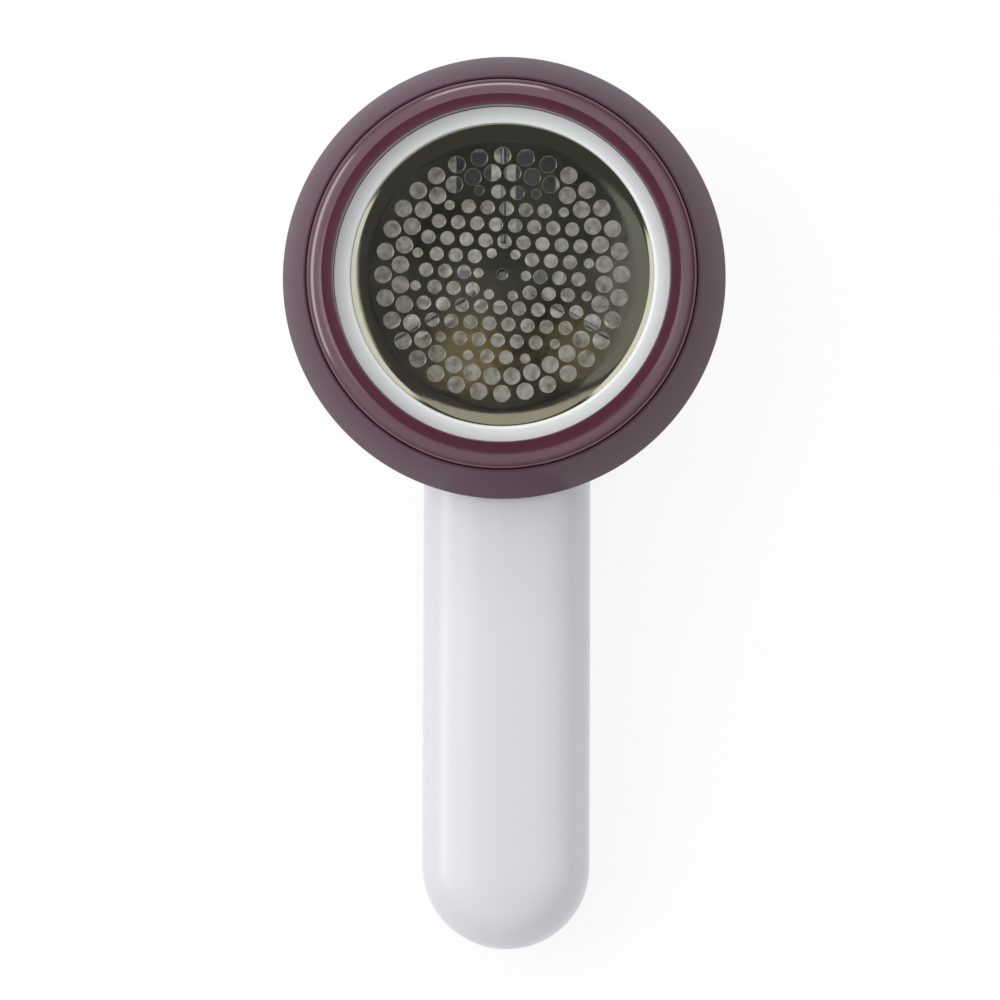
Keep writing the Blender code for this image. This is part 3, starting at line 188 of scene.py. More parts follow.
# puts parts, each its points and its faces, into one closed mesh in metres
def meshFrom(pieces):
    sameSpot, sliver = 2e-7, 1e-8  # metres
    mesh = bpy.data.meshes.new("part")
    points = np.concatenate([part[0] for part in pieces]) * mm
    starts = np.cumsum([0] + [len(part[0]) for part in pieces])
    faces = [face for start, part in zip(starts, pieces) for face in (part[1] + start).tolist()]
    mesh.from_pydata(points.tolist(), [], faces)
    shape = bmesh.new()
    shape.from_mesh(mesh)
    bmesh.ops.remove_doubles(shape, verts=shape.verts, dist=sameSpot)
    bmesh.ops.dissolve_degenerate(shape, edges=shape.edges, dist=sliver)
    rim = [edge for edge in shape.edges if edge.is_boundary]
    if rim:
        bmesh.ops.holes_fill(shape, edges=rim, sides=0)
    bmesh.ops.recalc_face_normals(shape, faces=shape.faces)
    shape.to_mesh(mesh)
    shape.free()
    return mesh


# points of the circle with radius 1: (cosine, sine) of each angle
def onCircle(angle):
    return np.stack([np.cos(angle), np.sin(angle)], -1)


# points spaced evenly round that circle: the angles are whole parts of a turn
def evenCircle(count):
    return onCircle(np.arange(count) * 2 * np.pi / count)


# how far points lie from the head's axis, seen from above, and how long flat vectors are: the root of x
# squared plus y squared
def fromAxis(points):
    return np.hypot(points[..., 0], points[..., 1])


# an outline whose corners, each (x, y, radius), are rounded: one becomes the arc that touches both its sides
def roundedOutline(corners, steps=6):
    corners = np.array(corners, float)
    corners = corners[fromAxis(corners - np.roll(corners, 1, axis=0)) > tiny]
    spots, radii = corners[:, :2], corners[:, 2]
    into = spots - np.roll(spots, 1, axis=0)
    out = np.roll(spots, -1, axis=0) - spots
    into /= fromAxis(into)[:, None]
    out /= fromAxis(out)[:, None]
    turn = np.arccos(np.clip((into * out).sum(axis=1), -1, 1))
    turn = np.maximum(turn, tiny)
    reach = radii * np.tan(turn / 2)
    middle = out - into
    middle /= np.maximum(fromAxis(middle), tiny)[:, None]
    centre = spots + middle * (radii / np.cos(turn / 2))[:, None]
    first = spots - into * reach[:, None] - centre
    last = spots + out * reach[:, None] - centre
    share = np.linspace(0, 1, steps + 1)[None, :, None]
    angle = turn[:, None, None]
    arcs = np.sin((1 - share) * angle) * first[:, None] + np.sin(share * angle) * last[:, None]
    points = (centre[:, None] + arcs / np.sin(angle)).reshape(-1, 2)
    return points[fromAxis(points - np.roll(points, 1, axis=0)) > 10 * tiny]


# the outline (radius, height) turned about the vertical through (x, y), once round or through a sector from
# one angle to another, whose ends are closed
def turned(outline, segments=192, at=(0, 0), closed=True, sector=None):
    circle = onCircle(np.linspace(*sector, segments + 1)) if sector else evenCircle(segments)
    radius, height = np.asarray(outline, float).T
    flat = np.array(at) + radius[:, None] * circle[:, None]
    points = np.dstack([flat, np.broadcast_to(height, flat.shape[:2])])
    return points.reshape(-1, 3), gridFaces(len(circle), len(radius), not sector, closed)


# an upright pin, or the hole for one
def pin(radius, low, high, at, segments=32):
    return turned([(0, low), (radius, low), (radius, high), (0, high)], segments, at)


# a solid block as wide to the left as to the right, between two places along Y and two heights
def block(half, alongY, heights):
    points = np.array([[x, y, z] for x in (-half, half) for y in alongY for z in heights], float)
    faces = np.array([[0, 1, 3, 2], [4, 6, 7, 5], [0, 4, 5, 1], [2, 3, 7, 6], [0, 2, 6, 4], [1, 5, 7, 3]])
    return points, faces


# an outline carried straight along one axis, from one place on it to another
def prism(outline, axis, ends):
    points = np.stack([np.insert(outline, axis, end, axis=1) for end in ends])
    return points.reshape(-1, 3), gridFaces(2, len(outline), False, True)


# a round tube along a path: the frame's side vector is the part of up that is square to the path
def tube(path, radius, sides=12, up=(0, 0, 1)):
    along = np.gradient(path, axis=0)
    along /= np.linalg.norm(along, axis=1)[:, None]
    side = np.cross(along, up)
    side /= np.linalg.norm(side, axis=1)[:, None]
    over = np.cross(side, along)
    circle = evenCircle(sides)
    ring = circle[:, :1] * side[:, None] + circle[:, 1:] * over[:, None]
    points = path[:, None] + radius * ring
    return points.reshape(-1, 3), gridFaces(len(path), sides, False, True)


# joins, cuts or crosses solids in order and returns the resulting mesh; the solids are removed
def shaped(base, steps):
    solids = []
    for operation, part in [(None, base), *steps]:
        solid = bpy.data.objects.new("solid", meshFrom([part]))
        scene.collection.objects.link(solid)
        solids.append(solid)
        if operation:
            modifier = solids[0].modifiers.new(operation, "BOOLEAN")
            modifier.operation = operation
            modifier.solver = "MANIFOLD"
            modifier.object = solid
    bpy.context.view_layer.update()
    graph = bpy.context.evaluated_depsgraph_get()
    mesh = bpy.data.meshes.new_from_object(solids[0].evaluated_get(graph))
    for solid in solids:
        bpy.data.objects.remove(solid, do_unlink=True)
    return mesh


# a shaped mesh as the points and triangles that another cut or join takes
def partOf(mesh):
    mesh.calc_loop_triangles()
    points = np.array([vertex.co[:] for vertex in mesh.vertices]) / mm
    return points, np.array([triangle.vertices[:] for triangle in mesh.loop_triangles])


# makes the mesh a finished piece on a body, in a finish, in place of the CAD nodes that it stands for
def newPiece(name, mesh, finish, body, replaced, sharp=32):
    mesh.name = name
    mesh.materials.clear()
    mesh.materials.append(finishes[finish])
    mesh.shade_smooth()
    mesh.set_sharp_from_angle(angle=np.radians(sharp))
    obj = bpy.data.objects.new(name, mesh)
    scene.collection.objects.link(obj)
    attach(obj, body)
    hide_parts(*replaced)
    return obj


# Bell: a thin skirt between a throat and a rim
bell = {"throat": 39.17, "top": 38.0, "reach": 5.43, "fall": 10.9, "straight": 0.62, "wall": 1.4,
        "lean": 1.15, "throatFoot": 28.8, "flankStart": 0.09, "flankEnd": 0.93, "flankSteps": 34,
        "innerSteps": 24, "rimRound": 0.45, "topRound": 0.3}


# the flank's height falls as a straight line plus a square term, so it steepens towards the rim
def flank(share, inset=0.0):
    radius = bell["throat"] + bell["reach"] * share - inset
    height = bell["top"] - bell["fall"] * (bell["straight"] * share + (1 - bell["straight"]) * share ** 2)
    return np.column_stack([radius, height, np.zeros(len(share))])


inset = bell["wall"] * bell["lean"]  # the wall is thicker measured level than square to its slope
inner = flank(np.linspace(1, (bell["wall"] + inset) / bell["reach"], bell["innerSteps"]), inset)
rimZ = bell["top"] - bell["fall"]
corners = [[(bell["throat"], bell["throatFoot"], bell["topRound"]),
            (bell["throat"], bell["top"], bell["topRound"])],
           flank(np.linspace(bell["flankStart"], bell["flankEnd"], bell["flankSteps"])),
           [(bell["throat"] + bell["reach"], rimZ, bell["rimRound"]), (inner[0, 0], rimZ, bell["rimRound"])],
           inner[2:], [(bell["throat"] + bell["wall"], bell["throatFoot"], bell["topRound"])]]
newPiece("bellSkirt", meshFrom([turned(roundedOutline(np.vstack(corners)))]),
         "smoky", "housing", ["head_bell"])

# Guard ring: a flat working rim, then a quarter-oval shoulder down to an upright side; hollow behind
guard = {"inner": 33.7, "outer": 39.05, "top": 39.5, "rim": 2.2, "fall": 2.2, "edgeAngle": 55, "wall": 1.3,
         "innerFoot": 29.5, "outerFoot": 31.5, "shoulderSteps": 28, "footRound": 0.2, "lipRound": 0.3,
         "rimRound": 0.12, "hollowRound": 0.4}
edge = np.radians(guard["edgeAngle"])
rimR = guard["inner"] + guard["rim"]
innerWall, outerWall = guard["inner"] + guard["wall"], guard["outer"] - guard["wall"]
reach = (guard["outer"] - rimR) / (1 - np.cos(edge))
shoulderZ = guard["top"] - guard["fall"]
shoulder = (reach, guard["fall"] / np.sin(edge)) * onCircle(np.linspace(edge, 0, guard["shoulderSteps"])[1:])
shoulder += (guard["outer"] - reach, shoulderZ)
corners = [[(guard["inner"], guard["innerFoot"], guard["footRound"]),
            (guard["inner"], guard["top"], guard["lipRound"]), (rimR, guard["top"], guard["rimRound"])],
           np.insert(shoulder, 2, 0, axis=1),
           [(guard["outer"], guard["outerFoot"], guard["lipRound"]),
            (outerWall, guard["outerFoot"], guard["lipRound"]),
            (outerWall, shoulderZ, guard["hollowRound"]), (innerWall, shoulderZ, guard["hollowRound"]),
            (innerWall, guard["innerFoot"], guard["footRound"])]]
newPiece("guardRim", meshFrom([turned(roundedOutline(np.vstack(corners)))]),
         "burgundy", "guard", ["guard_ring"])

# Foil ring: a thin lip over the foil with softened edges, a skirt behind it and three bayonet lugs; both
# outlines are rows of radius, height and corner radius
lock = {"outline": [(30.4, 34.7, 0.1), (32.5, 34.7, 0.15), (32.5, 27.7, 0.15), (33.64, 27.7, 0.2),
                    (33.64, 35.5, 0.15), (30.95, 35.5, 0.5), (30.4, 35.05, 0.25)],
        "lug": [(31.8, 28.7, 0.15), (32.9, 28.7, 0), (32.9, 29.7, 0), (31.8, 29.7, 0.15)],
        "lugs": 3, "lugWidth": 6.0, "lugSteps": 12, "skirtIn": 32.5}
halfTurn = lock["lugWidth"] / 2 / lock["skirtIn"]
lug = roundedOutline(lock["lug"])
steps = []
for turn in np.pi / 2 + np.arange(lock["lugs"]) * 2 * np.pi / lock["lugs"]:
    steps.append(("UNION", turned(lug, lock["lugSteps"], sector=(turn - halfTurn, turn + halfTurn))))
newPiece("lockRing", shaped(turned(roundedOutline(lock["outline"])), steps),
         "ringAbs", "foil_unit", ["foil_ring"])
print("rings made")


# Foil: a shallow dome with rolled edge and flange, pierced by two rings of holes round a hexagonal field
foil = {"thick": 0.3, "middleZ": 35.0, "domeZ": 34.87, "domeR": 26.4, "shelfR": 29.3, "shelfSlope": 3.5,
        "rollR": 30.4, "rollSlope": 12.5, "edgeR": 31.2, "edgeRound": 0.1, "outerRing": 23.84,
        "ringHoles": 32, "web": 0.71, "fieldRings": (2, 5), "fieldGap": 0.85, "fieldWeb": 1.13,
        "nearWeb": 0.58, "turn": -3.7, "small": 0.94, "centre": 1.05, "lip": 0.06, "lipSteps": 9,
        "edgeSides": 192, "holeSides": 32, "shelfSteps": 12, "rollSteps": 22, "fill": 0.75, "fillReach": 40,
        "fillGap": 0.3, "fillEdge": 0.4}


# the places and radii of all holes: the inner ring's holes stand on equal-sided triangles with the outer
# ring's; the field's outermost holes are the root of 19 pitches out
def foilHoles():
    half = np.pi / foil["ringHoles"]
    innerRing = foil["outerRing"] * (np.cos(half) - np.sqrt(3) * np.sin(half))
    innerRing /= 1 - 4 * np.sin(half) ** 2
    ringHole = innerRing * np.sin(half) - foil["web"] / 2
    steps = 2 * np.arange(foil["ringHoles"])
    rings = np.vstack([foil["outerRing"] * onCircle(steps * half), innerRing * onCircle((steps + 1) * half)])
    pitch = (innerRing - ringHole - foil["fieldGap"] + foil["fieldWeb"] / 2) / (np.sqrt(19) + 0.5)
    fieldHole = (pitch - foil["fieldWeb"]) / 2
    first, last = foil["fieldRings"]
    a, b = np.meshgrid(np.arange(-last, last + 1), np.arange(-last, last + 1))
    ring = np.maximum(np.maximum(abs(a), abs(b)), abs(a + b))
    corner = (ring == last) & ((a == 0) | (b == 0) | (a + b == 0))
    beside = (ring == last) & ((abs(a) == 1) | (abs(b) == 1) | (abs(a + b) == 1))
    keep = (ring >= first) & (ring <= last) & ~corner
    turn = np.radians(foil["turn"])
    across, up = pitch * (a + b / 2)[keep], pitch * (b * np.sqrt(3) / 2)[keep]
    field = across[:, None] * onCircle(turn) + up[:, None] * onCircle(turn + np.pi / 2)
    nearRing = 2 * pitch - fieldHole - foil["small"] - foil["nearWeb"]
    six = nearRing * onCircle(turn + np.arange(6) * np.pi / 3)
    radii = np.concatenate([np.full(len(rings), ringHole), np.where(beside[keep], foil["small"], fieldHole),
                            np.full(len(six), foil["small"]), [foil["centre"]]])
    return np.vstack([rings, field, six, [[0, 0]]]), radii


# the foil's height over the radius: the slope grows evenly along each of the dome, the shelf and the roll, so
# each of them is a parabola that goes on from the last; the flange behind the roll is flat
def foilHeight(radius):
    domeSlope = 2 * (foil["middleZ"] - foil["domeZ"]) / foil["domeR"]
    height = foil["middleZ"] - domeSlope / 2 / foil["domeR"] * np.minimum(radius, foil["domeR"]) ** 2
    shelfSlope, rollSlope = np.tan(np.radians((foil["shelfSlope"], foil["rollSlope"])))
    for start, end, slope, steeper in ((foil["domeR"], foil["shelfR"], domeSlope, shelfSlope),
                                       (foil["shelfR"], foil["rollR"], shelfSlope, rollSlope)):
        out = np.clip(radius - start, 0, end - start)
        height = height - slope * out - (steeper - slope) / (end - start) * out ** 2 / 2
    return height


# the dome's net: points on its border, on the holes' circles and on a triangle lattice between them, with
# triangles over all but the holes
places, radii = foilHoles()
edgeSides, holeSides = foil["edgeSides"], foil["holeSides"]
border = foil["domeR"] * evenCircle(edgeSides)
wide = radii + foil["lip"]
holeCircle = evenCircle(holeSides)
circles = places[:, None] + wide[:, None, None] * holeCircle
gridY, gridX = np.indices((2 * foil["fillReach"] + 1,) * 2) - foil["fillReach"]
lattice = foil["fill"] * np.stack([gridX + gridY % 2 / 2, gridY * np.sqrt(3) / 2], -1).reshape(-1, 2)
clear = (fromAxis(lattice[:, None] - places[None]) > wide + foil["fillGap"]).all(axis=1)
lattice = lattice[clear & (fromAxis(lattice) < foil["domeR"] - foil["fillEdge"])]
loops = [list(range(edgeSides))]
loops += (edgeSides + np.arange(len(places) * holeSides).reshape(-1, holeSides)).tolist()
edges = [(first, second) for loop in loops for first, second in zip(loop, loop[1:] + loop[:1])]
net = [Vector(p) for p in np.vstack([border, circles.reshape(-1, 2), lattice]).tolist()]
net, _, triangles, *_ = delaunay_2d_cdt(net, edges, [], 0, 10 * tiny)
net, triangles = np.array([tuple(p) for p in net]), np.array(triangles)
middle = net[triangles].mean(axis=1)
triangles = triangles[~(fromAxis(middle[:, None] - places[None]) < wide).any(axis=1)]
top = np.column_stack([net, foilHeight(fromAxis(net))])

# each hole's wall is a half-round lip: the radius shrinks by the lip and grows back as the depth goes on
lipAngle = np.linspace(0, np.pi, foil["lipSteps"])
wallR = wide[:, None] - foil["lip"] * np.sin(lipAngle)
wallXY = places[:, None, None] + wallR[:, :, None, None] * holeCircle
wallZ = foilHeight(fromAxis(circles))[:, None] - foil["thick"] * (1 - np.cos(lipAngle))[:, None] / 2
walls = np.concatenate([wallXY, wallZ[..., None]], -1).reshape(-1, 3)
oneWall = gridFaces(foil["lipSteps"], holeSides, False, True)
wallFaces = (np.arange(len(places))[:, None, None] * foil["lipSteps"] * holeSides + oneWall).reshape(-1, 4)

# the rolled edge is one outline: out along the top, round the flange's edge, and back along the underside
outR = np.concatenate([np.linspace(foil["domeR"], foil["shelfR"], foil["shelfSteps"]),
                       np.linspace(foil["shelfR"], foil["rollR"], foil["rollSteps"])[1:],
                       [foil["edgeR"] - foil["edgeRound"]]])
rim = np.column_stack([outR, foilHeight(outR)])
tip = [(foil["edgeR"], rim[-1, 1] - foil["edgeRound"]),
       (foil["edgeR"], rim[-1, 1] - foil["thick"] + foil["edgeRound"])]
outline = np.vstack([rim, tip, rim[::-1] - (0, foil["thick"])])
foilMesh = meshFrom([(top, triangles), (top - (0, 0, foil["thick"]), triangles[:, ::-1]),
                     (walls, wallFaces), turned(outline, edgeSides, closed=False)])
newPiece("cuttingFoil", foilMesh, "foilSteel", "foil_unit", ["shaver_foil"], sharp=12)
print("foil made:", len(foilMesh.polygons), "faces")


# Handle and head: a stick with a flat back and a crowned front, and a round pod that flares into a saucer
case = {"halfWidth": 16.6, "length": 133.9, "depth": 26.0, "parting": 15.5, "seam": 0.15, "crownPower": 2.4,
        "backRadius": 9.0, "wall": 1.6, "edge": 0.25, "podR": 35.0, "podIn": 33.4, "podBack": 4.0,
        "saucerR": 43.4, "saucerZ": 26.8, "saucerStart": 19.0, "rimRound": 0.3, "ledgeIn": 25.7,
        "ledgeZ": 18.4, "ledgeTop": 20.0, "bite": 0.4, "backSteps": 20, "crownSteps": 46, "saucerSteps": 24,
        "podSteps": 14, "lid": 2}
# bite is how far a joined part reaches into the one that carries it
wall, bite, podR, saucerZ = case["wall"], case["bite"], case["podR"], case["saucerZ"]


# one half of the stick's section at a depth inside the skin, between two heights, as (reach, height) from the
# middle of the back to the middle of the front: a quarter round, then a superellipse
def handleSection(inset, low, high, edge):
    width, radius, front = case["halfWidth"] - inset, case["backRadius"] - inset, case["depth"] - inset
    backTurn = np.linspace(-np.pi / 2, 0, case["backSteps"])
    backArc = (width - radius, inset + radius) + radius * onCircle(backTurn)
    crown = onCircle(np.linspace(0, np.pi / 2, case["crownSteps"])[:-1]) ** (2 / case["crownPower"])
    crown = (0, case["parting"]) + (width, front - case["parting"]) * crown
    section = np.vstack([[0, inset], backArc, crown, [0, front]])
    reachLow, reachHigh = np.interp([low, high], section[:, 1], section[:, 0])
    kept = section[(section[:, 1] > low + edge + tiny) & (section[:, 1] < high - edge - tiny)]
    start = [(0, low), (reachLow, low)] if low > inset else [(0, inset), (width - radius, inset)]
    end = [(reachHigh, high), (0, high)] if high < front else [(0, front)]
    points = np.vstack([start, kept, end, [(-1, (low + high) / 2)]])  # a point behind the middle closes it
    rounding = np.zeros(len(points))
    rounding[[len(start) - 1, len(start) + len(kept)]] = edge  # the cut edges alone are rounded
    rounding[(points[:, 0] <= 0) | (points[:, 1] <= 0)] = 0
    outline = roundedOutline(np.column_stack([points, rounding]))
    return outline[outline[:, 0] > -0.5]


# the section is carried down one side, round the end and back up the other side
def stick(inset=0.0, low=0.0, high=None, edge=0.0, endSteps=64):
    section = handleSection(inset, low, case["depth"] if high is None else high, edge)
    way = onCircle(-np.linspace(0, np.pi, endSteps + 1))
    way = np.vstack([way[:1], way, way[-1:]])
    centreY = np.concatenate([[0], np.full(endSteps + 1, case["halfWidth"] - case["length"]), [0]])
    x = way[:, :1] * section[:, 0]
    y = centreY[:, None] + way[:, 1:] * section[:, 0]
    z = np.broadcast_to(section[:, 1], x.shape)
    return np.stack([x, y, z], -1).reshape(-1, 3), gridFaces(len(way), len(section))


# the saucer flares as a quarter oval, from upright at its foot to level at its rim
def saucer(radius, top):
    angle = np.linspace(0, np.pi / 2, case["saucerSteps"])
    out = radius + (case["saucerR"] - podR) * (1 - np.cos(angle))
    height = case["saucerStart"] + (top - case["saucerStart"]) * np.sin(angle)
    return np.column_stack([out, height, np.zeros(len(angle))])


# the pod's back: flat, with a quarter-round corner up to its side
def podBack(inset, top):
    radius, outer = case["podBack"] - inset, podR - inset
    return [(0, inset, 0), (outer, inset, radius), (outer, top, 0), (0, top, 0)]


# what hollows the case out: the stick and the pod again, a wall's thickness further in
def hollow():
    pod = roundedOutline(podBack(wall, case["saucerStart"])[:-1], case["podSteps"])[:-1]
    flare = saucer(case["podIn"], saucerZ)
    lidZ = saucerZ + case["lid"]
    lid = [(flare[-1, 0], lidZ, 0), (0, lidZ, 0)]
    room = roundedOutline(np.vstack([np.insert(pod, 2, 0, axis=1), flare, lid]))
    return [("DIFFERENCE", stick(wall)), ("DIFFERENCE", turned(room))]


# a rib across the inside of the stick, as a part to join to the case
def rib(half, alongY, heights):
    return partOf(shaped(stick(wall - bite), [("INTERSECT", block(half, alongY, heights))]))


# the first screw holds the stick and the other two the pod
screws = {"places": [(0, -37.5), *(29.7 * onCircle(np.radians((-25, 205))))], "headR": 2.6, "head": 1.6,
          "shank": 1.2, "length": 16.0, "sunk": 0.6, "gap": 0.3, "wall": 1.1, "frontBore": (0, 18.5),
          "rearBore": (1, 16), "seatTop": 15.2, "sides": 96, "rings": 40, "dome": 0.35, "domeStart": 0.75,
          "crossWidth": 0.75, "crossDepth": 0.9, "crossReach": 1.7, "crossSteep": 4, "tip": 0.6, "tipR": 0.3}
boreR, headHole = screws["shank"] + screws["gap"], screws["headR"] + screws["gap"]
# half width, span along Y and heights of the lint's chute, of the bin's doorway and of the two ribs
chute, doorway = (11.5, (14.5, 27.5), (18.1, 20.3)), (22.1, (15.7, 36.6), (4.0, 18.4))
ribs = {"contact": (10.15, (-122.9, -121.3), (5.0, 26.0)), "bay": (16.6, (-64.0, -62.4), (0, 15.2))}

# Front shell: crowned stick and flared saucer, hollowed; the cup's ledge, screw bosses and contact rib inside
low = case["parting"] + case["seam"]
pod = np.vstack([[(0, low, 0), (podR, low, case["edge"])],
                 saucer(podR, saucerZ - wall),
                 [(case["saucerR"], saucerZ, case["rimRound"]), (0, saucerZ, 0)]])
ledge = [(case["ledgeIn"], case["ledgeZ"]), (case["podIn"] + bite, case["ledgeZ"]),
         (case["podIn"] + bite, case["ledgeTop"]), (case["ledgeIn"], case["ledgeTop"])]
steps = [("UNION", turned(roundedOutline(pod)))] + hollow() + [("UNION", turned(ledge, segments=128))]
for at in screws["places"]:
    top = case["depth"] - wall if at[0] == 0 else case["ledgeZ"]
    steps.append(("UNION", pin(boreR + screws["wall"], low, top + bite, at)))
steps.append(("UNION", rib(*ribs["contact"])))
for at in screws["places"]:
    steps.append(("DIFFERENCE", pin(boreR, *screws["frontBore"], at)))
steps += [("DIFFERENCE", block(*doorway)), ("DIFFERENCE", block(*chute))]
frontMesh = shaped(stick(0, low, None, case["edge"]), steps)
newPiece("frontCase", frontMesh, "whiteAbs", "housing", ["front_shell"])
print("front case:", len(frontMesh.polygons), "faces")


# the back tray that the rear case and the battery door are both cut from
def tray():
    high = case["parting"] - case["seam"]
    corners = podBack(0, high)
    corners[2] = (podR, high, case["edge"])
    body = turned(roundedOutline(corners, case["podSteps"]))
    return stick(0, 0, high, case["edge"]), [("UNION", body)] + hollow()


# Rear case: knob's pocket and slot, sunk screw seats, cooling slots, the bin's doorway, rib before the cells
door = {"half": 17, "end": -64.0, "past": -134.5, "top": 8.0, "gap": 0.3, "grips": 4, "gripWidth": 12.0,
            "gripDepth": 0.6, "gripPitch": 1.8, "gripRound": 0.25}
pocket = {"y": -51.5, "halfX": 6.3, "halfY": 6.9, "depth": 2.8, "slotX": 1.2, "slotY": 3.8, "slotTop": 6}
vents = {"count": 5, "pitch": 4.6, "width": 1.8, "alongY": (-30.0, -16.5), "round": 0.85, "deep": 2.0}
base, steps = tray()
steps.append(("DIFFERENCE", block(door["half"], (door["past"], door["end"] - door["gap"]),
                                  (-1, door["top"]))))
steps.append(("UNION", rib(*ribs["bay"])))
for operation, half, reach, heights in (
        ("UNION", pocket["halfX"] + wall, pocket["halfY"] + wall, (wall / 2, pocket["depth"] + wall)),
        ("DIFFERENCE", pocket["halfX"], pocket["halfY"], (-1, pocket["depth"])),
        ("DIFFERENCE", pocket["slotX"], pocket["slotY"], (1, pocket["slotTop"]))):
    steps.append((operation, block(half, (pocket["y"] - reach, pocket["y"] + reach), heights)))
for at in screws["places"]:
    steps.append(("UNION", pin(headHole + screws["wall"], wall - bite, screws["seatTop"], at, segments=48)))
seatZ = screws["sunk"] + screws["head"] + screws["gap"]
for at in screws["places"]:
    steps.append(("DIFFERENCE", pin(headHole, -1, seatZ, at, segments=48)))
    steps.append(("DIFFERENCE", pin(boreR, *screws["rearBore"], at)))
start, end = vents["alongY"]
for x in (np.arange(vents["count"]) - (vents["count"] - 1) / 2) * vents["pitch"]:
    left, right = x - vents["width"] / 2, x + vents["width"] / 2
    slot = [(a, y, vents["round"]) for a, y in ((left, start), (right, start), (right, end), (left, end))]
    steps.append(("DIFFERENCE", prism(roundedOutline(slot), 2, (-1.0, vents["deep"]))))
steps.append(("DIFFERENCE", block(*doorway)))
rearMesh = shaped(base, steps)
newPiece("rearCase", rearMesh, "whiteAbs", "housing", ["rear_shell"])
print("rear case:", len(rearMesh.polygons), "faces")

# Battery door: the tray's heel with a row of grip grooves by its edge
base, steps = tray()
steps.append(("INTERSECT", block(door["half"], (door["past"], door["end"] - 2 * door["gap"]),
                                 (-1, door["top"] - door["gap"]))))
for number in range(door["grips"]):
    y = door["end"] - (2 * number + 3) * door["gripPitch"] / 2
    back, depth = y - door["gripPitch"] / 2, door["gripDepth"]
    groove = roundedOutline([(back, -depth, 0), (y, -depth, 0), (y, depth, door["gripRound"]),
                             (back, depth, door["gripRound"])])
    steps.append(("DIFFERENCE", prism(groove, 0, (-door["gripWidth"] / 2, door["gripWidth"] / 2))))
doorMesh = shaped(base, steps)
newPiece("batteryCover", doorMesh, "whiteAbs", "door", ["battery_door"])

# Lint bin: a drawer whose front follows the pod's round wall, with a sunk grip
drawer = {"half": 21.8, "back": 14.5, "low": 4.3, "top": 18.1, "wall": 1.2, "edge": 0.3, "gripHalf": 7.0,
          "gripHigh": 6.0, "gripDeep": 0.7, "past": 37, "span": (0, 20), "over": 22}
low, top, past = drawer["low"], drawer["top"], drawer["past"]
front = turned(roundedOutline([(0, low, 0), (podR, low, drawer["edge"]),
                               (podR, top, drawer["edge"]), (0, top, 0)]))
room = pin(podR - drawer["wall"], *drawer["span"], (0, 0), segments=192)
inside = block(drawer["half"] - drawer["wall"], (drawer["back"] + drawer["wall"], past),
               (low + drawer["wall"], drawer["over"]))
gripLow = (low + top - drawer["gripHigh"]) / 2
steps = [("INTERSECT", block(drawer["half"], (drawer["back"], past), drawer["span"])),
         ("DIFFERENCE", partOf(shaped(room, [("INTERSECT", inside)]))),
         ("DIFFERENCE", block(drawer["gripHalf"], (podR - drawer["gripDeep"], past),
                              (gripLow, gripLow + drawer["gripHigh"])))]
newPiece("lintDrawer", shaped(front, steps), "whiteAbs", "bin", ["lint_bin"])
print("cases made")


# Switch knob: a height field on a rounded rectangle, whose rows of points run along the ribs. The height is a
# quarter round at the edge and, inside it, a cosine row of ribs that fades out towards the edge
knob = {"x": 11.0, "y": 9.0, "middleY": -53.5, "low": 0.5, "high": 2.5, "corner": 1.2, "edge": 0.45,
        "ribs": 5, "ribDeep": 0.4, "ribStart": 0.5, "ribFull": 1.3, "rows": 100, "columns": 44}
corner = knob["corner"]
rowY = -np.cos(np.linspace(0, np.pi, knob["rows"]))[:, None] * knob["y"] / 2
knobY = np.repeat(rowY, knob["columns"], axis=1)
overY = abs(knobY) - knob["y"] / 2 + corner
halfX = knob["x"] / 2 - corner + np.sqrt(np.maximum(corner ** 2 - np.maximum(overY, 0) ** 2, 0))
knobX = -np.cos(np.linspace(0, np.pi, knob["columns"])) * halfX
overX = abs(knobX) - knob["x"] / 2 + corner
fromEdge = corner - np.hypot(np.maximum(overX, 0), np.maximum(overY, 0))
fromEdge -= np.minimum(np.maximum(overX, overY), 0)
short = np.clip(knob["edge"] - fromEdge, 0, knob["edge"])
roundEdge = knob["edge"] - np.sqrt(knob["edge"] ** 2 - short ** 2)
fade = np.clip((fromEdge - knob["ribStart"]) / (knob["ribFull"] - knob["ribStart"]), 0, 1)
groove = 0.5 - 0.5 * np.cos(2 * np.pi * knob["ribs"] * knobY / knob["y"])
knobZ = knob["low"] + roundEdge + knob["ribDeep"] * groove * fade ** 2 * (3 - 2 * fade)
face = np.stack([knobX, knobY + knob["middleY"], knobZ], -1)
outline = np.concatenate([face[0], face[1:, -1], face[-1, -2::-1], face[-2:0:-1, 0]])
skirt = np.stack([outline, outline * (1, 1, 0) + (0, 0, knob["high"])])
knobMesh = meshFrom([(face.reshape(-1, 3), gridFaces(knob["rows"], knob["columns"])),
                     (skirt.reshape(-1, 3), gridFaces(2, len(outline), False, True))])
newPiece("slideKnob", knobMesh, "burgundy", "switch", ["switch_knob"])

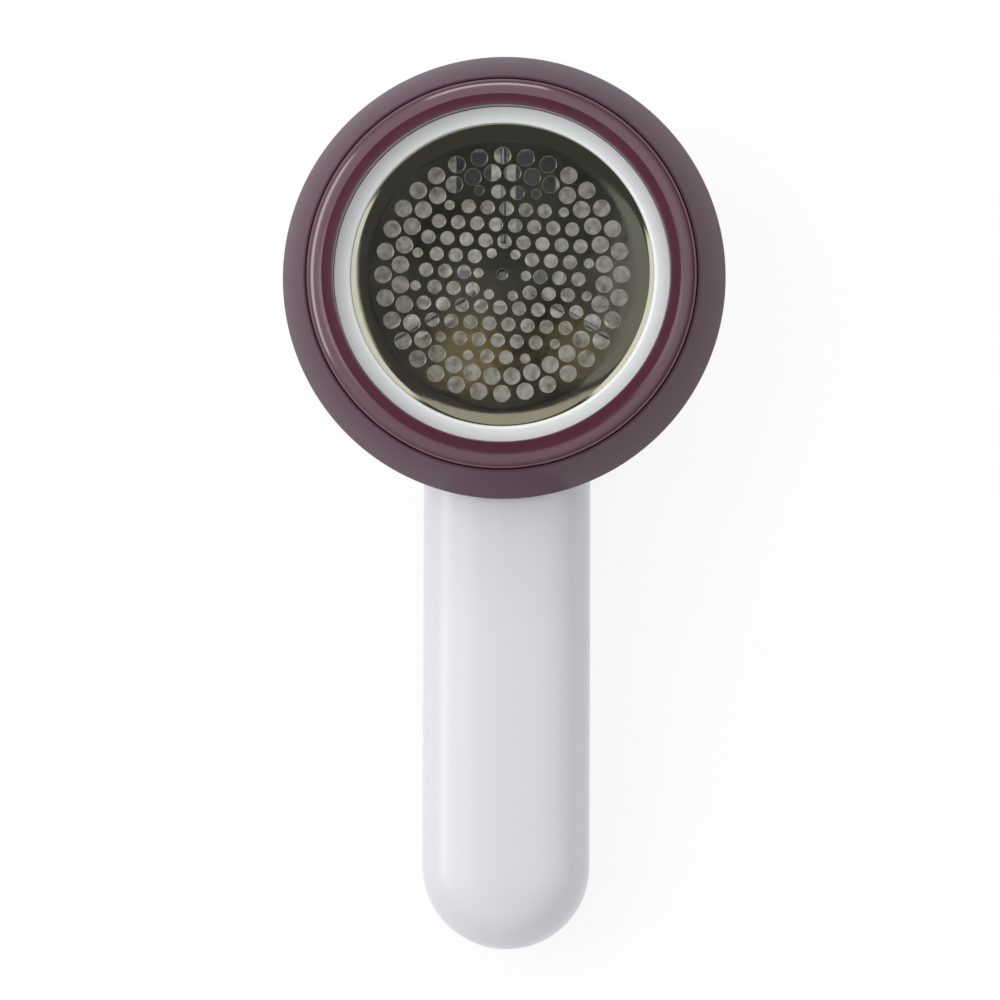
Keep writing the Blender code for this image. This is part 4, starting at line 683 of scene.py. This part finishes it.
# Case screws: a pan head on a polar grid whose height drops where the cross is, and a plain shank
way = evenCircle(screws["sides"])
outHead = np.linspace(0, 1, screws["rings"])[:, None]
head = outHead[:, :, None] * way * screws["headR"]
longer, shorter = abs(head).max(axis=-1), abs(head).min(axis=-1)
armEnd = np.clip((1 - np.minimum(longer / screws["crossReach"], 1)) * screws["crossSteep"], 0, 1)
cross = screws["crossDepth"] * armEnd * (shorter < screws["crossWidth"] / 2)
dome = screws["dome"] * np.clip((outHead - screws["domeStart"]) / (1 - screws["domeStart"]), 0, 1) ** 2
head = np.dstack([head, screws["sunk"] + cross + dome])
neck = screws["sunk"] + screws["head"]
end = neck + screws["length"]
below = [np.column_stack([radius * way, np.full(len(way), z)]) for radius, z in (
    (screws["headR"], neck), (screws["shank"], neck), (screws["shank"], end - screws["tip"]),
    (screws["tipR"], end), (0, end))]
screwGrid = np.concatenate([head, below])
for number, at in enumerate(screws["places"], 1):
    placed = (screwGrid + (*at, 0)).reshape(-1, 3)
    mesh = meshFrom([(placed, gridFaces(len(screwGrid), len(way), False, True))])
    newPiece(f"caseScrew{number}", mesh, "zinc", "housing", [f"case_screw_{number}"])
print("knob and screws made")

# Cells: a turned can with a rolled shoulder, a nub at one end and a flat at the other, laid along Y
cells = {"places": ((7.4, -65.0, -1), (-7.4, -120.3, 1)),  # across, the nub's end and the way to the foot
         "z": 9.5, "r": 7.25, "long": 50.5, "nubR": 2.75, "nub": 1.0, "band": 9.0, "shoulder": 0.6,
         "nubRound": 0.3, "crease": 0.1, "flatR": 4.2, "flatIn": 4.0, "flatDeep": 0.15, "sides": 96,
         "green": ("#1F4D35", "#1A432E"), "copper": "#A9713F", "drift": 6}
foot = cells["flatDeep"] - cells["long"]
canOutline = roundedOutline([(0, 0, 0), (cells["nubR"], 0, cells["nubRound"]),
                             (cells["nubR"], -cells["nub"], cells["crease"]),
                             (cells["r"], -cells["nub"], cells["shoulder"]),
                             (cells["r"], -cells["long"], cells["shoulder"]),
                             (cells["flatR"], -cells["long"], cells["crease"]),
                             (cells["flatIn"], foot, cells["crease"]), (0, foot, 0)])
for number, (x, nubY, way) in enumerate(cells["places"], 1):
    # Printed PVC shrink sleeve over a steel can: a satin green body with a copper band at the nub's end
    material, tree, shader, place = newMaterial(f"shrinkSleeve{number}", {"IOR": 1.5, "Roughness": 0.3})
    split = addNode(tree, "ShaderNodeSeparateXYZ", links={0: place})
    edgeY = (nubY + way * (cells["nub"] + cells["band"])) * mm
    isBand = addNode(tree, "ShaderNodeMath", {1: edgeY}, {0: split.outputs["Y"]},
                     operation="GREATER_THAN" if way < 0 else "LESS_THAN")
    noise = addNode(tree, "ShaderNodeTexNoise", {"Scale": 1000 / cells["drift"]}, {"Vector": place})
    green = addNode(tree, "ShaderNodeMix", {6: linear(cells["green"][0]), 7: linear(cells["green"][1])},
                    {0: noise.outputs["Fac"]}, data_type="RGBA")
    mix = addNode(tree, "ShaderNodeMix", {7: linear(cells["copper"])},
                  {0: isBand.outputs[0], 6: green.outputs[2]}, data_type="RGBA")
    tree.links.new(mix.outputs[2], shader.inputs["Base Color"])
    finishes[f"sleeve{number}"] = material
    points, faces = turned(canOutline, cells["sides"])
    laid = np.column_stack([points[:, 0] + x, nubY - way * points[:, 2], points[:, 1] + cells["z"]])
    newPiece(f"cellCan{number}", meshFrom([(laid, faces)]), f"sleeve{number}",
             "housing", [f"battery_{number}"])

# Cell springs: wire wound on a helix whose radius and place along the axis run evenly from end to end
coils = {"places": ((7.4, -120.0, -116.1), (-7.4, -65.0, -69.2)),  # across, and both ends along Y
         "turns": 3, "steps": 200, "wire": 0.3, "foot": 4.6, "tip": 3.0}
wireTurn = np.linspace(0, coils["turns"] * 2 * np.pi, coils["steps"])
for number, (x, baseY, tipY) in enumerate(coils["places"], 1):
    level = np.linspace(coils["foot"], coils["tip"], coils["steps"])[:, None] * onCircle(wireTurn)
    path = np.insert(level + (x, cells["z"]), 1, np.linspace(baseY, tipY, coils["steps"]), axis=1)
    coil = meshFrom([tube(path, coils["wire"], up=(0, 1, 0))])
    newPiece(f"cellSpring{number}", coil, "springSteel", "housing",
             [f"battery_spring_{number}"])

# Carrier spring: the same work upright on the axis, between the ends of the CAD spring's box
lifter = {"wire": 0.25, "travel": 1.2}
springLow, springHigh = (np.array(corner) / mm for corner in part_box("carrier_spring"))
level = ((springHigh[0] - springLow[0]) / 2 - lifter["wire"]) * onCircle(wireTurn)
path = np.column_stack([level, np.linspace(springLow[2] + lifter["wire"], springHigh[2] - lifter["wire"],
                                           coils["steps"])])
coil = newPiece("carrierCoil", meshFrom([tube(path, lifter["wire"])]),
                "springSteel", "spindle", ["carrier_spring"])
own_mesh(coil)
print("cells and springs made")

# CAD nodes whose shape is right keep it and get their real finish; each is named by how its name starts
kept = {"innerAbs": ("cutter_cup", "blade_carrier"), "foilSteel": ("motor_can",),
        "bladeSteel": ("cutter_blade", "motor_shaft"), "zinc": ("cup_screw", "motor_screw"),
        "brass": ("drive_sleeve", "motor_terminal", "contact_"),
        "nylon": ("motor_end_cap", "switch_body", "switch_lever"),
        "redPvc": ("wire_battery", "wire_motor_plus"), "blackPvc": ("wire_motor_minus",)}
for finish, starts in kept.items():
    for name in nodes:
        if name.startswith(starts):
            for materialSlot in nodes[name].material_slots:
                materialSlot.material = finishes[finish]

# Studio: dark straight overhead and bright down the sides, most of all low on the left, and a little more
# beyond the head. The flat steel shows the dark part with what hangs in it, the crowned plastic the rest
studio = {"side": 0.99, "capEdge": (0.85, 0.91), "lowLevel": 0.3, "lowEdge": (0.15, 0.7),
          "leftGain": (1.06, 1.52), "northGain": 0.14, "cloud": 62, "cloudEdge": (0.4, 0.75),
          "cloudLevels": (0.02, 0.11), "cloudMean": 0.06, "cloudAt": (-2.9, 4.5), "cloudReach": (4.0, 2.0)}
# soft spots in the sky: place in degrees off the zenith, outer and inner reach, and the light added there
skySpots = [((-2.5, -8.0), (8.3, 7.6), (0.40, 0.38, 0.33)),  # the foil mirrors this one as a pale crescent
            ((2.45, 4.2), (4.05, 3.9), (0.16, 0.16, 0.15)),  # a paler band at its right
            ((-27.0, 0.0), (16.0, 14.0), (0.9, 0.9, 0.88)),  # the bright arc along its left edge
            ((19.5, -2.5), (14.0, 12.0), (1.0, 1.0, 0.98)),  # and the one along its right edge
            ((-3.4, 3.78), (0.62, 0.05), (0.30, 0.23, 0.12)),  # two brown patches
            ((-1.95, 3.85), (0.6, 0.05), (0.16, 0.13, 0.07))]
world = bpy.data.worlds.new("studioRoom")
scene.world = world
world.use_nodes = True
tree = world.node_tree
tree.nodes.clear()
way = addNode(tree, "ShaderNodeTexCoord").outputs["Generated"]
split = addNode(tree, "ShaderNodeSeparateXYZ", links={0: way})
cloud = addNode(tree, "ShaderNodeTexNoise", {"Scale": studio["cloud"], "Detail": 2.0}, {"Vector": way})
fades = []
for source, (first, last), (low, high) in (
        (split.outputs["Z"], studio["capEdge"], (1.0, 0.0)),
        (split.outputs["Z"], studio["lowEdge"], (studio["lowLevel"], 1.0)),
        (cloud.outputs["Fac"], studio["cloudEdge"], studio["cloudLevels"])):
    fade = addNode(tree, "ShaderNodeMapRange",
                   {"From Min": first, "From Max": last, "To Min": low, "To Max": high},
                   {"Value": source}, interpolation_type="SMOOTHSTEP")
    fades.append(fade.outputs[0])


# a soft round patch of the sky, 1 in its middle and 0 outside: place and reach in degrees off the zenith
def skyPatch(place, reach):
    towards = Vector((*np.sin(np.radians(place)), 1)).normalized()
    near = addNode(tree, "ShaderNodeVectorMath", {1: towards}, {0: way}, operation="DOT_PRODUCT")
    outer, inner = np.cos(np.radians(reach))
    return addNode(tree, "ShaderNodeMapRange", {"From Min": outer, "From Max": inner},
                   {"Value": near.outputs["Value"]}, interpolation_type="SMOOTHSTEP").outputs[0]


# the cloud is kept to the little part of the sky that the foil's middle shows, so its rolled edge stays calm
patch = skyPatch(studio["cloudAt"], studio["cloudReach"])
above = addNode(tree, "ShaderNodeMath", {1: studio["cloudMean"]}, {0: fades[2]},
                operation="SUBTRACT").outputs[0]
haze = addNode(tree, "ShaderNodeMath", {2: studio["cloudMean"]}, {0: above, 1: patch},
               operation="MULTIPLY_ADD").outputs[0]
# the light in a direction (x, y, z) is the haze plus side times both fades times a gain, and the gain is
# 1 plus y times northGain plus x times (z times leftGain's second less its first)
lean = addNode(tree, "ShaderNodeMath", {1: studio["leftGain"][1], 2: -studio["leftGain"][0]},
               {0: split.outputs["Z"]}, operation="MULTIPLY_ADD").outputs[0]
along = addNode(tree, "ShaderNodeMath", {1: studio["northGain"], 2: 1.0},
                {0: split.outputs["Y"]}, operation="MULTIPLY_ADD").outputs[0]
tilt = addNode(tree, "ShaderNodeMath", links={0: split.outputs["X"], 1: lean, 2: along},
               operation="MULTIPLY_ADD").outputs[0]
dome = addNode(tree, "ShaderNodeMath", links={0: fades[0], 1: fades[1]}, operation="MULTIPLY").outputs[0]
shape = addNode(tree, "ShaderNodeMath", links={0: dome, 1: tilt}, operation="MULTIPLY").outputs[0]
total = addNode(tree, "ShaderNodeMath", {1: studio["side"]}, {0: shape, 2: haze},
                operation="MULTIPLY_ADD").outputs[0]
total = addNode(tree, "ShaderNodeCombineColor", links={0: total, 1: total, 2: total}).outputs[0]
for place, reach, colour in skySpots:
    total = addNode(tree, "ShaderNodeVectorMath", {1: colour}, {0: skyPatch(place, reach), 2: total},
                    operation="MULTIPLY_ADD").outputs[0]
glow = addNode(tree, "ShaderNodeBackground", {"Strength": 1.0}, {"Color": total})
addNode(tree, "ShaderNodeOutputWorld", links={"Surface": glow.outputs[0]})

# Two soft boxes low at the left and behind the head: they draw the gloss on the guard's shoulder
boxes = {"leftBox": {"azimuth": 170, "elevation": 29, "size": (1.3, 0.3), "watts": 4.2},
         "farBox": {"azimuth": 97, "elevation": 26, "size": (0.7, 0.25), "watts": 2.0}}
boxAway = 1.3  # metres
for name, plan in boxes.items():
    lamp = bpy.data.lights.new(name, "AREA")
    lamp.shape = "RECTANGLE"
    lamp.size, lamp.size_y = plan["size"]
    lamp.energy = plan["watts"]
    box = bpy.data.objects.new(name, lamp)
    a, e = np.radians(plan["azimuth"]), np.radians(plan["elevation"])
    towards = Vector((np.cos(a) * np.cos(e), np.sin(a) * np.cos(e), np.sin(e)))
    aim = towards.to_track_quat("Z", "Y").to_matrix().to_4x4()
    box.matrix_world = Matrix.Translation(towards * boxAway) @ aim
    scene.collection.objects.link(box)

# Floor: white paper. What the camera, gloss and glass see of it is lifted to the white of the background, and
# the part that is still lit keeps the soft shadow
paper = {"half": 3, "z": -0.0001, "tone": "#E6E6E6", "lit": 0.2, "lift": 0.82}  # metres
half, lit = paper["half"], paper["lit"]
corners = [(x, y, paper["z"]) for x, y in ((-half, -half), (half, -half), (half, half), (-half, half))]
floorMesh = bpy.data.meshes.new("paperFloor")
floorMesh.from_pydata(corners, [], [(0, 1, 2, 3)])
floor = bpy.data.objects.new("paperFloor", floorMesh)
scene.collection.objects.link(floor)
material = bpy.data.materials.new("whitePaperSweep")
material.use_nodes = True
tree = material.node_tree
tree.nodes.clear()
rays = addNode(tree, "ShaderNodeLightPath").outputs
seen = rays["Is Camera Ray"]
for kind in ("Is Glossy Ray", "Is Transmission Ray"):
    seen = addNode(tree, "ShaderNodeMath", links={0: seen, 1: rays[kind]}, operation="MAXIMUM").outputs[0]
plain = addNode(tree, "ShaderNodeBsdfDiffuse", {"Color": linear(paper["tone"])})
faint = addNode(tree, "ShaderNodeBsdfDiffuse", {"Color": (lit, lit, lit, 1)})
lift = addNode(tree, "ShaderNodeEmission", {"Color": (1, 1, 1, 1), "Strength": paper["lift"]})
both = addNode(tree, "ShaderNodeAddShader", links={0: faint.outputs[0], 1: lift.outputs[0]})
mix = addNode(tree, "ShaderNodeMixShader", links={0: seen, 1: plain.outputs[0], 2: both.outputs[0]})
addNode(tree, "ShaderNodeOutputMaterial", links={"Surface": mix.outputs[0]})
floorMesh.materials.append(material)

# Camera: far off and almost square-on, leaning a little to the right and to the handle
view = {"distance": 2400 * mm, "leanX": 2.98, "leanY": 3.83, "aim": (-0.68 * mm, -44.6 * mm, 27.1 * mm),
        "lens": 432, "sensor": 36, "roll": 0.2, "clip": (0.1, 20)}
away = Vector((np.tan(np.radians(view["leanX"])), -np.tan(np.radians(view["leanY"])), 1)).normalized()
right = Vector((0, 1, 0)).cross(away).normalized()
up = away.cross(right)
lensData = bpy.data.cameras.new("productCamera")
lensData.lens = view["lens"]
lensData.sensor_width = view["sensor"]
lensData.clip_start, lensData.clip_end = view["clip"]
camera = bpy.data.objects.new("productCamera", lensData)
axes = Matrix((right, up, away)).transposed() @ Matrix.Rotation(np.radians(view["roll"]), 3, "Z")
camera.matrix_world = Matrix.Translation(Vector(view["aim"]) + away * view["distance"]) @ axes.to_4x4()
scene.collection.objects.link(camera)
scene.camera = camera
scene.view_settings.view_transform = "Standard"
print("studio ready")

bpy.context.view_layer.update()
